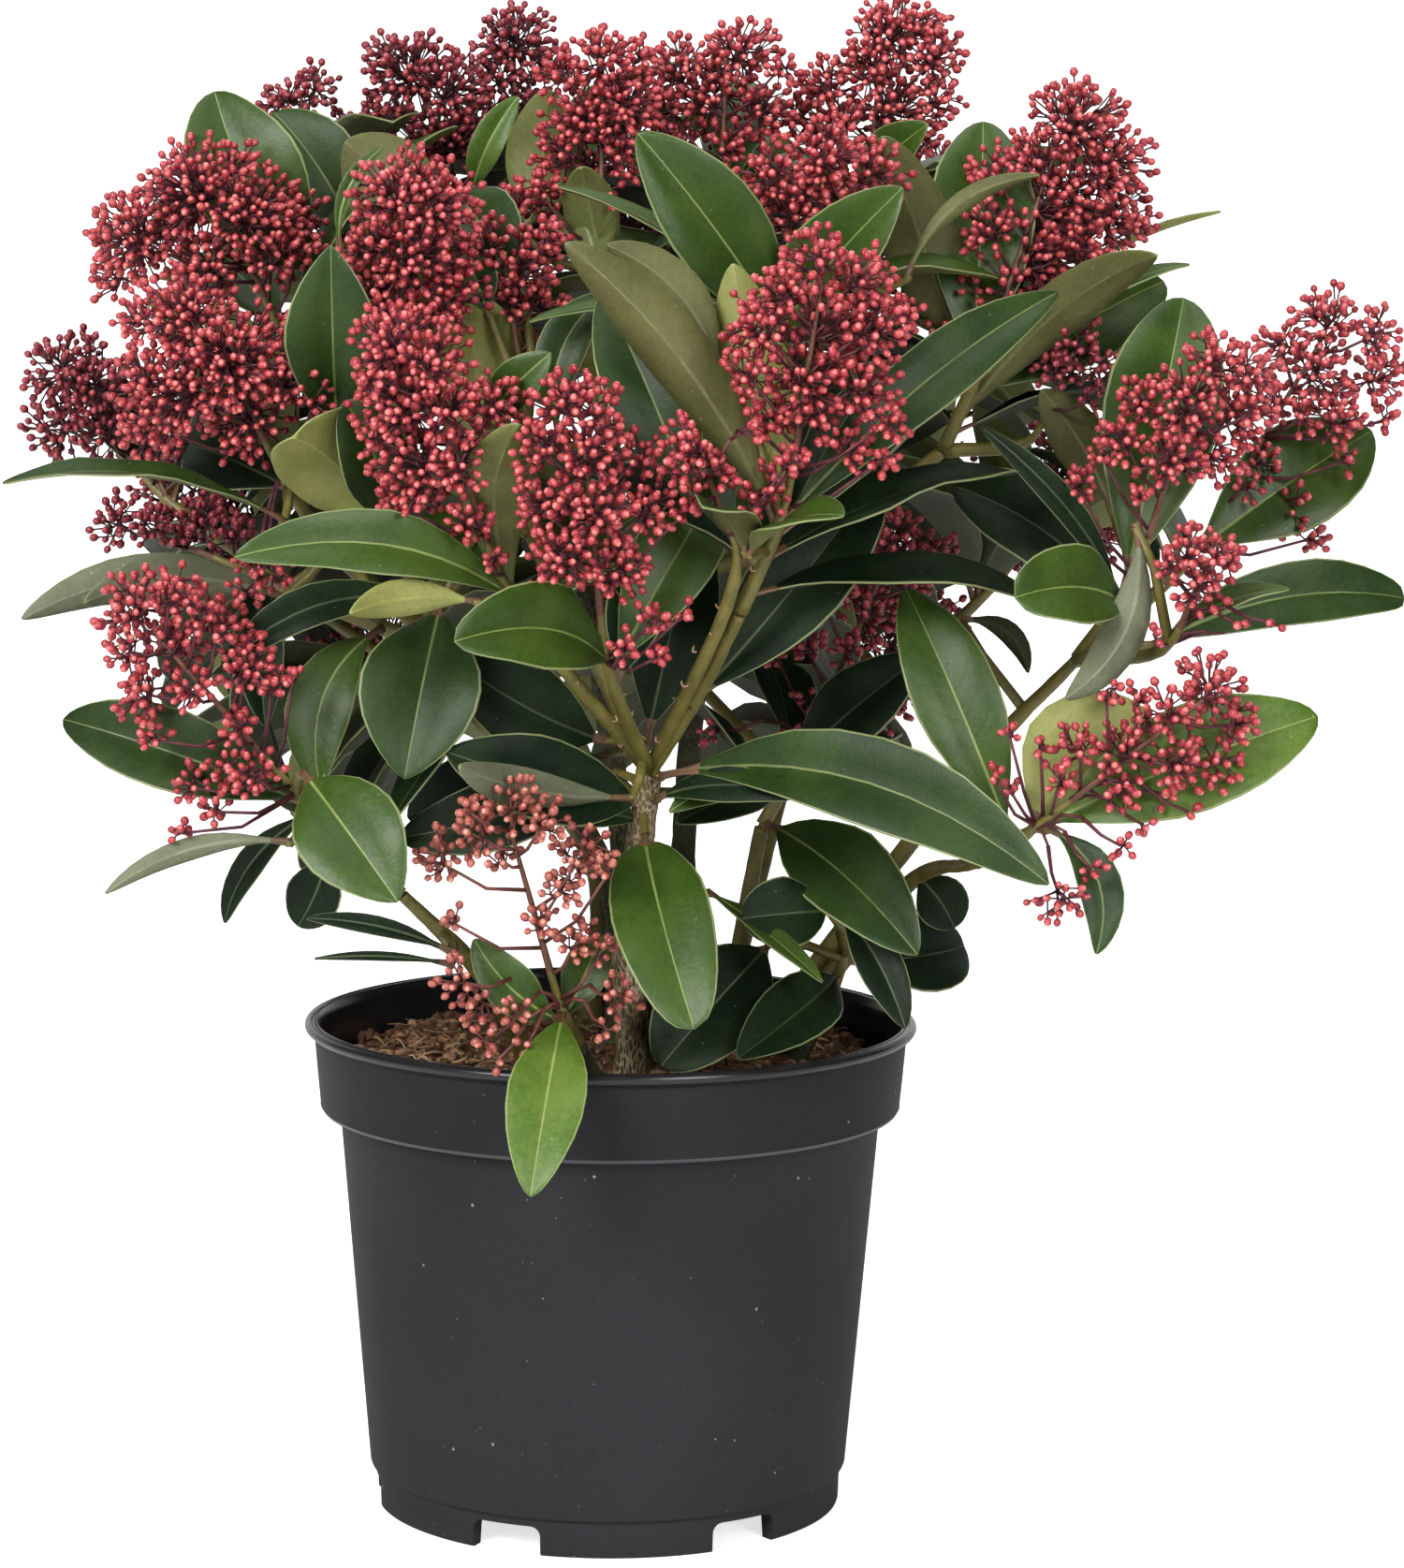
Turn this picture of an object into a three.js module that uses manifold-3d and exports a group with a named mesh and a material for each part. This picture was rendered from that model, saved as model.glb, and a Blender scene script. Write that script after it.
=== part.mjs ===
// A skimmia in a three-litre nursery pot. Millimetres, +Z up. The origin is on the ground, under the
// middle of the pot, and the plant's front looks along -Y.
import * as THREE from "three";
import { mergeVertices } from "three/addons/utils/BufferGeometryUtils.js";
import Module from "manifold-3d";

const wasm = await Module();
wasm.setup();

// ---- Driving dimensions ----
const RIM_RADIUS = 95;
const POT_HEIGHT = 152;
const COLLAR_HEIGHT = 28; // the deep band under the rim
const COLLAR_TOP_RADIUS = 92;
const COLLAR_FOOT_RADIUS = 90;
const BODY_TOP_RADIUS = 84;
const BODY_FOOT_RADIUS = 74.5;
const FOOT_RADIUS = 72.5;
const FOOT_HEIGHT = 12;
const WALL = 2;
const FLOOR_TOP = 11;
const PAD_RADIUS = 22; // the small pad under the middle of the floor
const FEET = 6;
const NOTCH_WIDTH = 22.5;
const NOTCH_HEIGHT = 9;
const NOTCH_TURN = 27; // degrees from the front to the first notch's edge
const POT_SIDES = 36;

const SOIL_TOP = 138;
const CLEAR = 0.3; // the gap that touching pieces keep
const SOIL_LEVEL = SOIL_TOP + CLEAR;

const STEM_SIDES = 7;
const BOUGH_SIDES = 6;
const TWIG_SIDES = 3;
const TWIG_FOOT = 2.3; // twig radius where it leaves its bough
const TWIG_NODE = 1.9; // at the whorl of leaves
const TWIG_TIP = 0.7; // at the top of the flower head

const LEAF_STATIONS = [0, 0.34, 0.72, 1]; // root, two rings and tip, as shares of the length
const LEAF_THICKNESS = 1.4; // under the middle of the blade
const LEAF_FOLD = 0.1; // how far the edges rise, as a share of the half width
const LEAF_ARCH = 0.1; // how far the middle rises, as a share of the length
const LEAF_ROOM = 0.4; // how much stouter a leaf could be and still be clear
const LEAF_SUNK = 0.8; // how far the root goes past the twig's axis
const HEAD_FOOT = 0.1; // where the head starts above the whorl, as a share of its height
const HEAD_IN = 0.66; // the corners' reach, as a share of the head's outline
const HEAD_OUT = 1.08;
const HEAD_SIDES = 8;
const HEAD_RINGS = 5;
const HEAD_ROOM = 0.02; // how much larger a head could be and still be clear
const HEAD_SCALES = [1, 0.93, 0.86, 0.79, 0.72, 0.65, 0.58, 0.5, 0.42];
const BELOW_SHARE = 0.85; // how far down its twig a leaf's root may be
const DEPTH_STEPS = [0, 6, -6, 12, -12, 18, -18, 26, -26, 34, -34]; // mm, front to back

// Spare leaves, and the crown's space, which none of them leaves
const GOLDEN_ANGLE = 137.5;
const SPARE_LEAN = 62; // degrees from the twig's axis
const SPARE_LEAN_MORE = 38;
const SPARE_LENGTH = 70;
const SPARE_LENGTH_MORE = 34;
const SPARE_WIDTH = 0.3; // as a share of the length
const SPARE_ROOT = 3; // mm below the whorl's top
const SPARE_ROOT_MORE = 14;
const LEAF_FLOOR = 165;
const CROWN_LEFT = -190;
const CROWN_RIGHT = 242;
const CROWN_FRONT = -160;
const CROWN_BACK = 215;

const DEGREE = Math.PI / 180;

const vector = (x, y, z) => new THREE.Vector3(x, y, z);
const UP = vector(0, 0, 1);
const CROWN = new THREE.Box3(
  vector(CROWN_LEFT, CROWN_FRONT, LEAF_FLOOR),
  vector(CROWN_RIGHT, CROWN_BACK, Infinity),
);

// ---- Stems, each from the soil, and boughs, each from the tip of the limb it names ----
// [name, parent or null, radius at the foot, radius at the tip, points after the parent's tip]
const LIMBS = [
  ["stem_front", null, 5.2, 3.9, [8, -30, SOIL_LEVEL], [6, -40, 185], [12, -55, 236]],
  ["stem_left", null, 3.6, 1.9, [-22, -20, SOIL_LEVEL], [-39, -50, 175], [-61, -60, 199]],
  ["stem_left_back", null, 3.8, 3.0, [2, 20, SOIL_LEVEL], [-2, 28, 192], [-50, 25, 262]],
  ["stem_back", null, 4.2, 3.4, [8, 52, SOIL_LEVEL], [2, 56, 200], [-12, 80, 300]],
  ["stem_mid", null, 4.2, 3.5, [24, 34, SOIL_LEVEL], [22, 40, 200], [28, 18, 290]],
  ["stem_inner", null, 3.0, 2.2, [34, 8, SOIL_LEVEL], [41, 4, 182], [46, 0, 212]],
  ["stem_right", null, 3.4, 1.8, [48, 2, SOIL_LEVEL], [91, 0, 194], [110, -50, 209]],
  ["stem_right_high", null, 3.4, 1.8, [44, 18, SOIL_LEVEL], [110, -8, 232], [140, -30, 268]],
  ["stem_low_front", null, 3.0, 2.4, [-1, -60, SOIL_LEVEL], [-8, -73, 156]],
  ["stem_low_right", null, 3.0, 2.4, [57, -6, SOIL_LEVEL], [67, -14, 160]],
  ["stem_back_left", null, 3.2, 2.4, [-8, 50, SOIL_LEVEL], [-8, 72, 190], [-45, 98, 232]],
  ["stem_back_right", null, 3.2, 2.4, [34, 54, SOIL_LEVEL], [55, 98, 215]],
  ["bough_front_right", "stem_front", 2.4, 2.0, [28, -76, 265], [38, -94, 287]],
  ["bough_front_mid", "stem_front", 2.6, 2.2, [-8, -54, 276], [-24, -48, 306]],
  ["bough_left", "stem_left_back", 2.8, 2.3, [-72, 5, 283], [-88, -14, 300]],
  ["bough_left_back", "stem_left_back", 2.7, 2.2, [-80, 35, 272], [-100, 36, 280]],
  ["bough_left_high", "stem_left_back", 2.8, 2.3, [-74, 24, 305], [-91, 14, 336]],
  ["bough_back_left", "stem_back", 3.0, 2.4, [-35, 92, 340], [-50, 98, 372]],
  ["bough_back_mid", "stem_back", 2.9, 2.4, [-4, 100, 320], [4, 122, 345]],
  ["bough_centre_left", "stem_mid", 2.8, 2.3, [12, 16, 325], [4, 15, 352]],
  ["bough_centre_right", "stem_mid", 2.8, 2.3, [36, 8, 315], [40, 2, 338]],
  ["bough_back_right", "stem_mid", 2.8, 2.3, [50, 34, 325], [64, 50, 362]],
  ["bough_right_high", "stem_mid", 2.4, 2.0, [66, 24, 302], [101, 14, 328]],
];

// ---- Shoots: a twig, its whorl of leaves and its flower head, one node each ----
// limb, node (the whorl) and top (of the head) in mm, spread (the head's half width), spare leaves
// by rule, and the leaves whose place is known: [tip x, y, z, width, upper side, root below the node]
const SHOOTS = [
  {
    name: "front_centre", limb: "stem_front",
    node: [0, -96, 273], top: [-8, -125, 353], spread: 24, spare: 0,
    leaves: [
      [-41, -150, 284, 26, "front", 4], [34, -70, 326, 25, "front", 6],
      [126, -125, 214, 27, "front", 48], [-41, -124, 246, 12, "back", 48],
      [-47, -84, 245, 26, "front", 48], [13, -62, 300, 19, "front", 12],
      [57, -85, 233, 11, "front", 48], [26, -128, 172, 29, "front", 48],
      [-33, -78, 231, 12, "front", 48], [25, -32, 308, 27, "front", 48],
      [-46, -58, 269, 27, "front", 48],
    ],
  },
  {
    name: "front_right", limb: "bough_front_right",
    node: [50, -108, 318], top: [62, -125, 397], spread: 29, spare: 2,
    leaves: [
      [-12, -120, 393, 19, "back", 6], [-1, -84, 392, 15, "back", 2],
      [-2, -76, 378, 26, "front", 18], [35, -80, 387, 24, "back", 3],
      [80, -58, 327, 29, "front", 31], [130, -60, 379, 20, "front", 9],
      [27, -140, 321, 20, "up", 12], [66, -142, 319, 20, "up", 13],
    ],
  },
  {
    name: "front_right_low", limb: "stem_front",
    node: [37, -110, 304], top: [25, -128, 339], spread: 15, spare: 0,
    leaves: [],
  },
  {
    name: "left_centre", limb: "stem_front",
    node: [-28, -85, 291], top: [-58, -112, 373], spread: 26, spare: 2,
    leaves: [
      [-25, -114, 342, 19, "back", 4], [-105, -118, 304, 19, "front", 5],
      [-72, -122, 289, 11, "back", 2],
    ],
  },
  {
    name: "mid", limb: "bough_front_mid",
    node: [-25, -45, 341], top: [-35, -30, 397], spread: 17, spare: 3,
    leaves: [
      [-42, -44, 376, 31, "back", 10], [-17, -85, 361, 14, "front", 3],
      [-2, -42, 377, 15, "front", 7], [0, -38, 373, 14, "back", 8], [-44, -38, 388, 13, "front", 2],
      [-49, 0, 406, 24, "front", 2],
    ],
  },
  {
    name: "mid_left", limb: "bough_front_mid",
    node: [-62, -52, 334], top: [-61, -66, 414], spread: 24, spare: 2,
    leaves: [
      [-81, -76, 391, 28, "front", 2], [-90, -98, 337, 33, "back", 12],
      [-76, -88, 347, 22, "front", 12], [-81, -22, 421, 28, "back", 2],
      [-59, -84, 237, 36, "front", 38], [-85, -66, 232, 20, "front", 29],
      [-114, -66, 267, 13, "front", 39],
    ],
  },
  {
    name: "left", limb: "bough_left",
    node: [-98, -45, 323], top: [-124, -62, 378], spread: 29, spare: 2,
    leaves: [
      [-175, -85, 322, 14, "up", 4], [-120, -15, 373, 22, "back", 6],
      [-139, -30, 376, 15, "back", 9], [-129, -10, 329, 24, "front", 10],
    ],
  },
  {
    name: "upper_left", limb: "bough_left_high",
    node: [-103, 8, 363], top: [-129, 0, 420], spread: 33, spare: 3,
    leaves: [
      [-125, 28, 436, 36, "front", 2], [-109, 52, 430, 27, "front", 2],
    ],
  },
  {
    name: "far_left", limb: "bough_left_back",
    node: [-148, 55, 312], top: [-179, 60, 355], spread: 21, spare: 4,
    leaves: [
      [-167, 85, 344, 20, "front", 5],
    ],
  },
  {
    name: "low_left_back", limb: "bough_left_back",
    node: [-117, 15, 290], top: [-159, 30, 304], spread: 15, spare: 2,
    leaves: [
      [-180, -15, 276, 14, "back", 2], [-157, -45, 284, 15, "back", 2],
      [-106, -15, 244, 16, "front", 9],
    ],
  },
  {
    name: "top_left_back", limb: "bough_back_left",
    node: [-103, 115, 410], top: [-107, 120, 443], spread: 19, spare: 4,
    leaves: [],
  },
  {
    name: "top_left", limb: "bough_back_left",
    node: [-59, 90, 403], top: [-65, 95, 454], spread: 27, spare: 4,
    leaves: [
      [-33, 72, 436, 11, "front", 2],
    ],
  },
  {
    name: "top_mid_back", limb: "bough_back_left",
    node: [-35, 115, 416], top: [-37, 120, 464], spread: 18, spare: 4,
    leaves: [],
  },
  {
    name: "top_mid", limb: "bough_centre_left",
    node: [-5, 15, 382], top: [-5, 22, 457], spread: 26, spare: 2,
    leaves: [
      [-23, 40, 438, 24, "back", 2], [-11, 0, 414, 17, "back", 6], [-14, 12, 409, 18, "back", 2],
    ],
  },
  {
    name: "top_right_mid", limb: "bough_centre_right",
    node: [32, 40, 404], top: [33, 42, 458], spread: 27, spare: 4,
    leaves: [
      [40, 90, 442, 18, "front", 3],
    ],
  },
  {
    name: "top_right", limb: "bough_back_right",
    node: [78, 60, 409], top: [84, 62, 466], spread: 29, spare: 4,
    leaves: [
      [95, 15, 428, 18, "front", 4],
    ],
  },
  {
    name: "mid_right", limb: "bough_centre_right",
    node: [51, -28, 368], top: [62, -28, 433], spread: 34, spare: 2,
    leaves: [
      [7, -60, 424, 30, "front", 4], [84, -70, 409, 26, "front", 5], [-17, -25, 408, 11, "up", 7],
      [125, -48, 413, 6, "back", 2], [-24, -62, 369, 11, "up", 8],
    ],
  },
  {
    name: "upper_right", limb: "bough_right_high",
    node: [111, 0, 354], top: [140, 10, 438], spread: 34, spare: 2,
    leaves: [
      [80, -12, 424, 24, "back", 5], [113, 35, 429, 33, "front", 5], [160, -48, 390, 17, "back", 24],
      [189, 50, 402, 8, "left", 8], [176, 15, 386, 14, "up", 9], [171, 45, 380, 29, "front", 12],
    ],
  },
  {
    name: "right", limb: "stem_right_high",
    node: [155, -45, 294], top: [176, -60, 364], spread: 29, spare: 2,
    leaves: [
      [173, 0, 376, 36, "front", 5], [116, -110, 294, 24, "front", 2],
      [108, -65, 340, 9, "front", 8], [103, -30, 320, 25, "front", 9], [130, -2, 348, 17, "back", 3],
    ],
  },
  {
    name: "far_right", limb: "stem_right_high",
    node: [180, 15, 298], top: [227, 20, 379], spread: 28, spare: 2,
    leaves: [
      [237, 40, 334, 34, "front", 5], [241, -12, 286, 20, "front", 57],
    ],
  },
  {
    name: "right_low", limb: "stem_right_high",
    node: [163, -80, 278], top: [175, -100, 310], spread: 15, spare: 1,
    leaves: [
      [197, -85, 295, 15, "up", 4], [132, -98, 264, 13, "back", 2],
    ],
  },
  {
    name: "low_right", limb: "stem_right",
    node: [124, -100, 227], top: [180, -120, 275], spread: 25, spare: 2,
    leaves: [
      [159, -92, 254, 37, "back", 3], [206, -85, 258, 32, "front", 5],
      [141, -112, 192, 13, "front", 2], [87, -62, 292, 26, "front", 22],
    ],
  },
  {
    name: "inner_right", limb: "stem_inner",
    node: [61, 5, 239], top: [89, 8, 306], spread: 26, spare: 3,
    leaves: [
      [92, -62, 183, 28, "front", 27], [18, -62, 225, 10, "front", 22],
      [94, -30, 269, 23, "front", 8], [127, -10, 262, 7, "back", 2], [20, -42, 219, 15, "front", 20],
    ],
  },
  {
    name: "low_left", limb: "stem_left",
    node: [-91, -72, 231], top: [-141, -92, 291], spread: 33, spare: 1,
    leaves: [
      [-58, -130, 208, 31, "front", 2], [-162, -55, 250, 25, "front", 6],
      [-145, -94, 204, 7, "back", 5], [-114, -58, 190, 9, "front", 8],
      [-93, -50, 188, 17, "front", 22], [-63, -45, 214, 22, "front", 39],
      [-62, -20, 217, 24, "front", 39], [-43, -8, 226, 26, "front", 39],
    ],
  },
  {
    name: "low_front", limb: "stem_low_front",
    node: [-13, -84, 170], top: [-31, -104, 238], spread: 32, spare: 0,
    leaves: [
      [-38, -96, 192, 15, "front", 2], [-20, -132, 124, 23, "front", 2],
      [-1, -74, 190, 14, "front", 5],
    ],
  },
  {
    name: "right_back", limb: "bough_right_high",
    node: [127, 6, 332], top: [143, -8, 367], spread: 13, spare: 4,
    leaves: [],
  },
  {
    name: "low_right_back", limb: "stem_low_right",
    node: [72, -20, 176], top: [78, -18, 190], spread: 0, spare: 2,
    leaves: [
      [40, -48, 191, 22, "front", 2], [110, 15, 173, 25, "front", 3], [106, -5, 182, 17, "front", 2],
      [64, -60, 174, 9, "up", 2], [89, -58, 160, 14, "front", 2], [39, -68, 152, 22, "front", 8],
      [16, -55, 147, 33, "front", 2],
    ],
  },
  {
    name: "back_left_high", limb: "bough_back_mid",
    node: [-80, 150, 362], top: [-98, 178, 418], spread: 28, spare: 8,
    leaves: [],
  },
  {
    name: "back_mid_high", limb: "bough_back_mid",
    node: [2, 150, 384], top: [2, 172, 440], spread: 28, spare: 8,
    leaves: [],
  },
  {
    name: "back_right_high", limb: "bough_back_right",
    node: [92, 138, 366], top: [108, 165, 420], spread: 28, spare: 8,
    leaves: [],
  },
  {
    name: "back_left_mid", limb: "stem_back_left",
    node: [-122, 112, 286], top: [-150, 138, 335], spread: 26, spare: 8,
    leaves: [],
  },
  {
    name: "back_right_mid", limb: "stem_back_right",
    node: [130, 112, 286], top: [158, 138, 335], spread: 26, spare: 8,
    leaves: [],
  },
  {
    name: "back_left_low", limb: "stem_back_left",
    node: [-74, 148, 238], top: [-96, 178, 278], spread: 24, spare: 8,
    leaves: [],
  },
  {
    name: "back_mid_low", limb: "stem_back_right",
    node: [10, 150, 262], top: [8, 188, 306], spread: 24, spare: 8,
    leaves: [],
  },
  {
    name: "back_right_low", limb: "stem_back_right",
    node: [84, 148, 236], top: [104, 178, 276], spread: 24, spare: 8,
    leaves: [],
  },
];

// Which way a known leaf's dark upper side looks.
const UPPER_SIDE = {
  front: vector(0, -1, 0.35),
  back: vector(0, 1, 0.1),
  up: vector(0, -0.35, 1),
  left: vector(-1, -0.1, 0.2),
  right: vector(1, -0.15, 0.2),
};

// ---- Solids ----
function manifoldOf(geometry) {
  const bare = geometry.clone();
  bare.deleteAttribute("normal");
  bare.deleteAttribute("uv");
  const merged = mergeVertices(bare, 1e-4);
  const mesh = new wasm.Mesh({
    numProp: 3,
    vertProperties: merged.attributes.position.array,
    triVerts: new Uint32Array(merged.index.array),
  });
  return new wasm.Manifold(mesh);
}

function geometryOf(solid) {
  const mesh = solid.getMesh();
  const geometry = new THREE.BufferGeometry();
  geometry.setAttribute("position", new THREE.BufferAttribute(mesh.vertProperties, mesh.numProp));
  geometry.setIndex(new THREE.BufferAttribute(mesh.triVerts, 1));
  const faceted = geometry.toNonIndexed();
  faceted.computeVertexNormals();
  return faceted;
}

// The largest piece: drops scraps, and fills a hollow that fusing sealed.
function mainBody(solid) {
  const bodies = solid.decompose();
  return bodies.sort((a, b) => b.volume() - a.volume())[0];
}

function moveVertices(geometry, place) {
  const position = geometry.attributes.position;
  const from = vector();
  for (let i = 0; i < position.count; i += 1) {
    const to = place(from.fromBufferAttribute(position, i).clone());
    position.setXYZ(i, to.x, to.y, to.z);
  }
  return geometry;
}

// A tapered rod along a smooth curve, with flat ends. radiusAt and t run from 0 at the foot to 1.
function rod(points, sides, steps, radiusAt, footNormal) {
  const curve = new THREE.CatmullRomCurve3(points);
  const place = (v) => {
    const t = v.y + 0.5;
    const radius = Math.hypot(v.x, v.z) * radiusAt(t);
    const along = t < 1e-3 && footNormal ? footNormal : curve.getTangent(t);
    const right = vector(0, 1, 0).cross(along).normalize();
    const ahead = along.clone().cross(right).normalize();
    const turn = Math.atan2(v.z, v.x);
    return curve
      .getPoint(t)
      .addScaledVector(right, -radius * Math.cos(turn))
      .addScaledVector(ahead, radius * Math.sin(turn));
  };
  const blank = new THREE.CylinderGeometry(1, 1, 1, sides, steps);
  return manifoldOf(moveVertices(blank, place));
}

// A direction's frame: side x upper = along.
function frameOf(along, upper) {
  const normal = upper.clone().addScaledVector(along, -upper.dot(along)).normalize();
  return { side: normal.clone().cross(along).normalize(), normal };
}

// A leaf's half width at t from root to tip, for a full width of 1.
function leafOutline(t) {
  const blade = Math.max((t - 0.06) / 0.94, 0);
  return 0.5 * Math.sin(Math.PI * blade ** 1.12) ** 0.8;
}

// A leaf: a three-sided ball whose two rings become the blade's edges and its keel, widest past its
// middle and arched. extra makes it stouter, to test how near it comes to its neighbours.
function leafSolid(leaf, extra = 0) {
  const along = leaf.tip.clone().sub(leaf.root);
  const length = along.length() + LEAF_SUNK;
  along.normalize();
  const { side, normal } = frameOf(along, leaf.upper);
  const start = leaf.root.clone().addScaledVector(along, -LEAF_SUNK);
  const blank = new THREE.SphereGeometry(1, 3, LEAF_STATIONS.length - 1);
  blank.rotateX(Math.PI / 2).rotateZ(-Math.PI / 6); // ends along z, one corner straight down
  const place = (v) => {
    const fromRoot = 1 - Math.acos(THREE.MathUtils.clamp(v.z, -1, 1)) / Math.PI;
    const t = LEAF_STATIONS[Math.round(fromRoot * (LEAF_STATIONS.length - 1))];
    const round = Math.hypot(v.x, v.y);
    const isEnd = round < 1e-3;
    const across = isEnd ? 0 : v.x / round / Math.cos(Math.PI / 6);
    const isKeel = !isEnd && Math.abs(across) < 0.5;
    const half = leaf.width * leafOutline(t) + extra;
    const arch = LEAF_ARCH * length * 4 * t * (1 - t);
    const rise = isKeel ? -LEAF_THICKNESS - extra : LEAF_FOLD * half * Math.abs(across) + extra;
    return start
      .clone()
      .addScaledVector(along, length * t)
      .addScaledVector(side, across * half)
      .addScaledVector(normal, arch + (isEnd ? 0 : rise));
  };
  return manifoldOf(moveVertices(blank, place));
}

// A flower head: a ball drawn out along the head's axis, with its corners in and out by turns, as
// the clusters of buds are.
function headSolid(core, scale) {
  const { shoot, node, axis, side, normal } = core;
  const height = vector(...shoot.top).distanceTo(node);
  const place = (v) => {
    const round = Math.hypot(v.x, v.y);
    const isPole = round < 1e-3;
    const ring = Math.round((Math.acos(THREE.MathUtils.clamp(v.z, -1, 1)) / Math.PI) * HEAD_RINGS);
    const sector = Math.round((Math.atan2(v.y, v.x) / Math.PI / 2) * HEAD_SIDES) + HEAD_SIDES;
    const reach = (ring + sector) % 2 ? HEAD_OUT : HEAD_IN;
    const t = 1 - ring / HEAD_RINGS;
    const radius = isPole ? 0 : shoot.spread * scale * headOutline(t) * reach;
    return node
      .clone()
      .addScaledVector(axis, height * THREE.MathUtils.lerp(HEAD_FOOT, 1, t))
      .addScaledVector(side, isPole ? 0 : (v.x / round) * radius)
      .addScaledVector(normal, isPole ? 0 : (v.y / round) * radius);
  };
  const blank = new THREE.SphereGeometry(1, HEAD_SIDES, HEAD_RINGS).rotateX(Math.PI / 2);
  return manifoldOf(moveVertices(blank, place));
}

// Seeded numbers from 0 to 1, the same on every run.
function seededRandom(seed) {
  let state = seed;
  return () => {
    state = (state + 0x6d2b79f5) | 0;
    let t = Math.imul(state ^ (state >>> 15), 1 | state);
    t = (t + Math.imul(t ^ (t >>> 7), 61 | t)) ^ t;
    return ((t ^ (t >>> 14)) >>> 0) / 4294967296;
  };
}

// ---- The space that is taken so far, by node ----
const taken = [];

function boxOf(solid) {
  const box = solid.boundingBox();
  return new THREE.Box3(vector(...box.min), vector(...box.max));
}

function take(owner, solid) {
  taken.push({ owner, solid, box: boxOf(solid) });
}

function isFree(owner, solid) {
  const box = boxOf(solid);
  return !taken.some((other) =>
    other.owner !== owner && other.box.intersectsBox(box) && !other.solid.intersect(solid).isEmpty());
}

// Cuts a solid clear of the fattened limbs and twigs that it starts beside.
function cutClear(solid, owner, fats) {
  const box = boxOf(solid);
  let rest = solid;
  for (const fat of fats) {
    if (fat.owner !== owner && boxOf(fat.solid).intersectsBox(box)) rest = rest.subtract(fat.solid);
  }
  return mainBody(rest);
}

// ---- Pot and soil ----
function lathe(profile) {
  const points = profile.map(([radius, z]) => new THREE.Vector2(radius, z));
  const turned = new THREE.LatheGeometry(points, POT_SIDES);
  turned.rotateX(Math.PI / 2);
  return manifoldOf(turned);
}

function insideRadius(z) {
  const share = (z - FOOT_HEIGHT) / (POT_HEIGHT - COLLAR_HEIGHT - FOOT_HEIGHT);
  return THREE.MathUtils.lerp(BODY_FOOT_RADIUS, BODY_TOP_RADIUS, share) - WALL;
}

const COLLAR_FOOT = POT_HEIGHT - COLLAR_HEIGHT;
const STEP_TOP = COLLAR_FOOT + 3; // where the inside widens into the collar

function potSolid() {
  const underFloor = FLOOR_TOP - WALL;
  const body = lathe([
    [0, 0],
    [PAD_RADIUS, 0],
    [PAD_RADIUS + 2, underFloor],
    [FOOT_RADIUS - 6, underFloor],
    [FOOT_RADIUS - 5, 0],
    [FOOT_RADIUS - 0.6, 0],
    [FOOT_RADIUS, 0.8],
    [FOOT_RADIUS + 0.3, FOOT_HEIGHT - 1],
    [BODY_FOOT_RADIUS, FOOT_HEIGHT + 0.5],
    [BODY_TOP_RADIUS, COLLAR_FOOT],
    [COLLAR_FOOT_RADIUS - 1.5, COLLAR_FOOT],
    [COLLAR_FOOT_RADIUS, COLLAR_FOOT + 2],
    [COLLAR_TOP_RADIUS, POT_HEIGHT - 4.5],
    [RIM_RADIUS - 0.8, POT_HEIGHT - 3.8],
    [RIM_RADIUS, POT_HEIGHT - 2],
    [RIM_RADIUS - 1, POT_HEIGHT],
    [COLLAR_TOP_RADIUS - 0.5, POT_HEIGHT],
    [COLLAR_TOP_RADIUS - WALL, POT_HEIGHT - 3],
    [COLLAR_FOOT_RADIUS - WALL, STEP_TOP],
    [insideRadius(COLLAR_FOOT), COLLAR_FOOT],
    [insideRadius(FLOOR_TOP), FLOOR_TOP],
    [0, FLOOR_TOP],
  ]);
  const outline = new THREE.Shape();
  const half = NOTCH_WIDTH / 2;
  outline.moveTo(-half, -4);
  outline.lineTo(half, -4);
  outline.lineTo(half, NOTCH_HEIGHT - 3);
  outline.lineTo(half - 3, NOTCH_HEIGHT);
  outline.lineTo(3 - half, NOTCH_HEIGHT);
  outline.lineTo(-half, NOTCH_HEIGHT - 3);
  let pot = body;
  for (let i = 0; i < FEET; i += 1) {
    const notch = new THREE.ExtrudeGeometry(outline, { depth: 18, bevelEnabled: false });
    notch.rotateX(Math.PI / 2); // the outline stands up, and the notch runs towards the front
    notch.translate(0, -(FOOT_RADIUS - 10), 0);
    notch.rotateZ((NOTCH_TURN + 9 + (i * 360) / FEET) * DEGREE);
    pot = pot.subtract(manifoldOf(notch));
  }
  return pot;
}

function soilSolid() {
  const base = FLOOR_TOP + CLEAR;
  const wallAt = (z) => insideRadius(z) - CLEAR;
  return lathe([
    [0, base],
    [wallAt(base), base],
    [wallAt(COLLAR_FOOT) - 0.1, COLLAR_FOOT],
    [COLLAR_FOOT_RADIUS - WALL - CLEAR - 0.1, STEP_TOP + 0.2],
    [COLLAR_FOOT_RADIUS - WALL - CLEAR + 0.6, SOIL_TOP - 3],
    [COLLAR_FOOT_RADIUS - WALL - 6, SOIL_TOP - 1.5],
    [74, SOIL_TOP],
    [0, SOIL_TOP],
  ]);
}

// ---- Growing the plant ----
const COLOURS = {
  pot: [0x2b2d30, 0.45],
  soil: [0x3a2a1e, 0.95],
  stem: [0x6b5a3a, 0.8],
  bough: [0x6f7036, 0.6],
  shoot: [0x3f5f2c, 0.45],
};

const plant = new THREE.Group();

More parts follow.
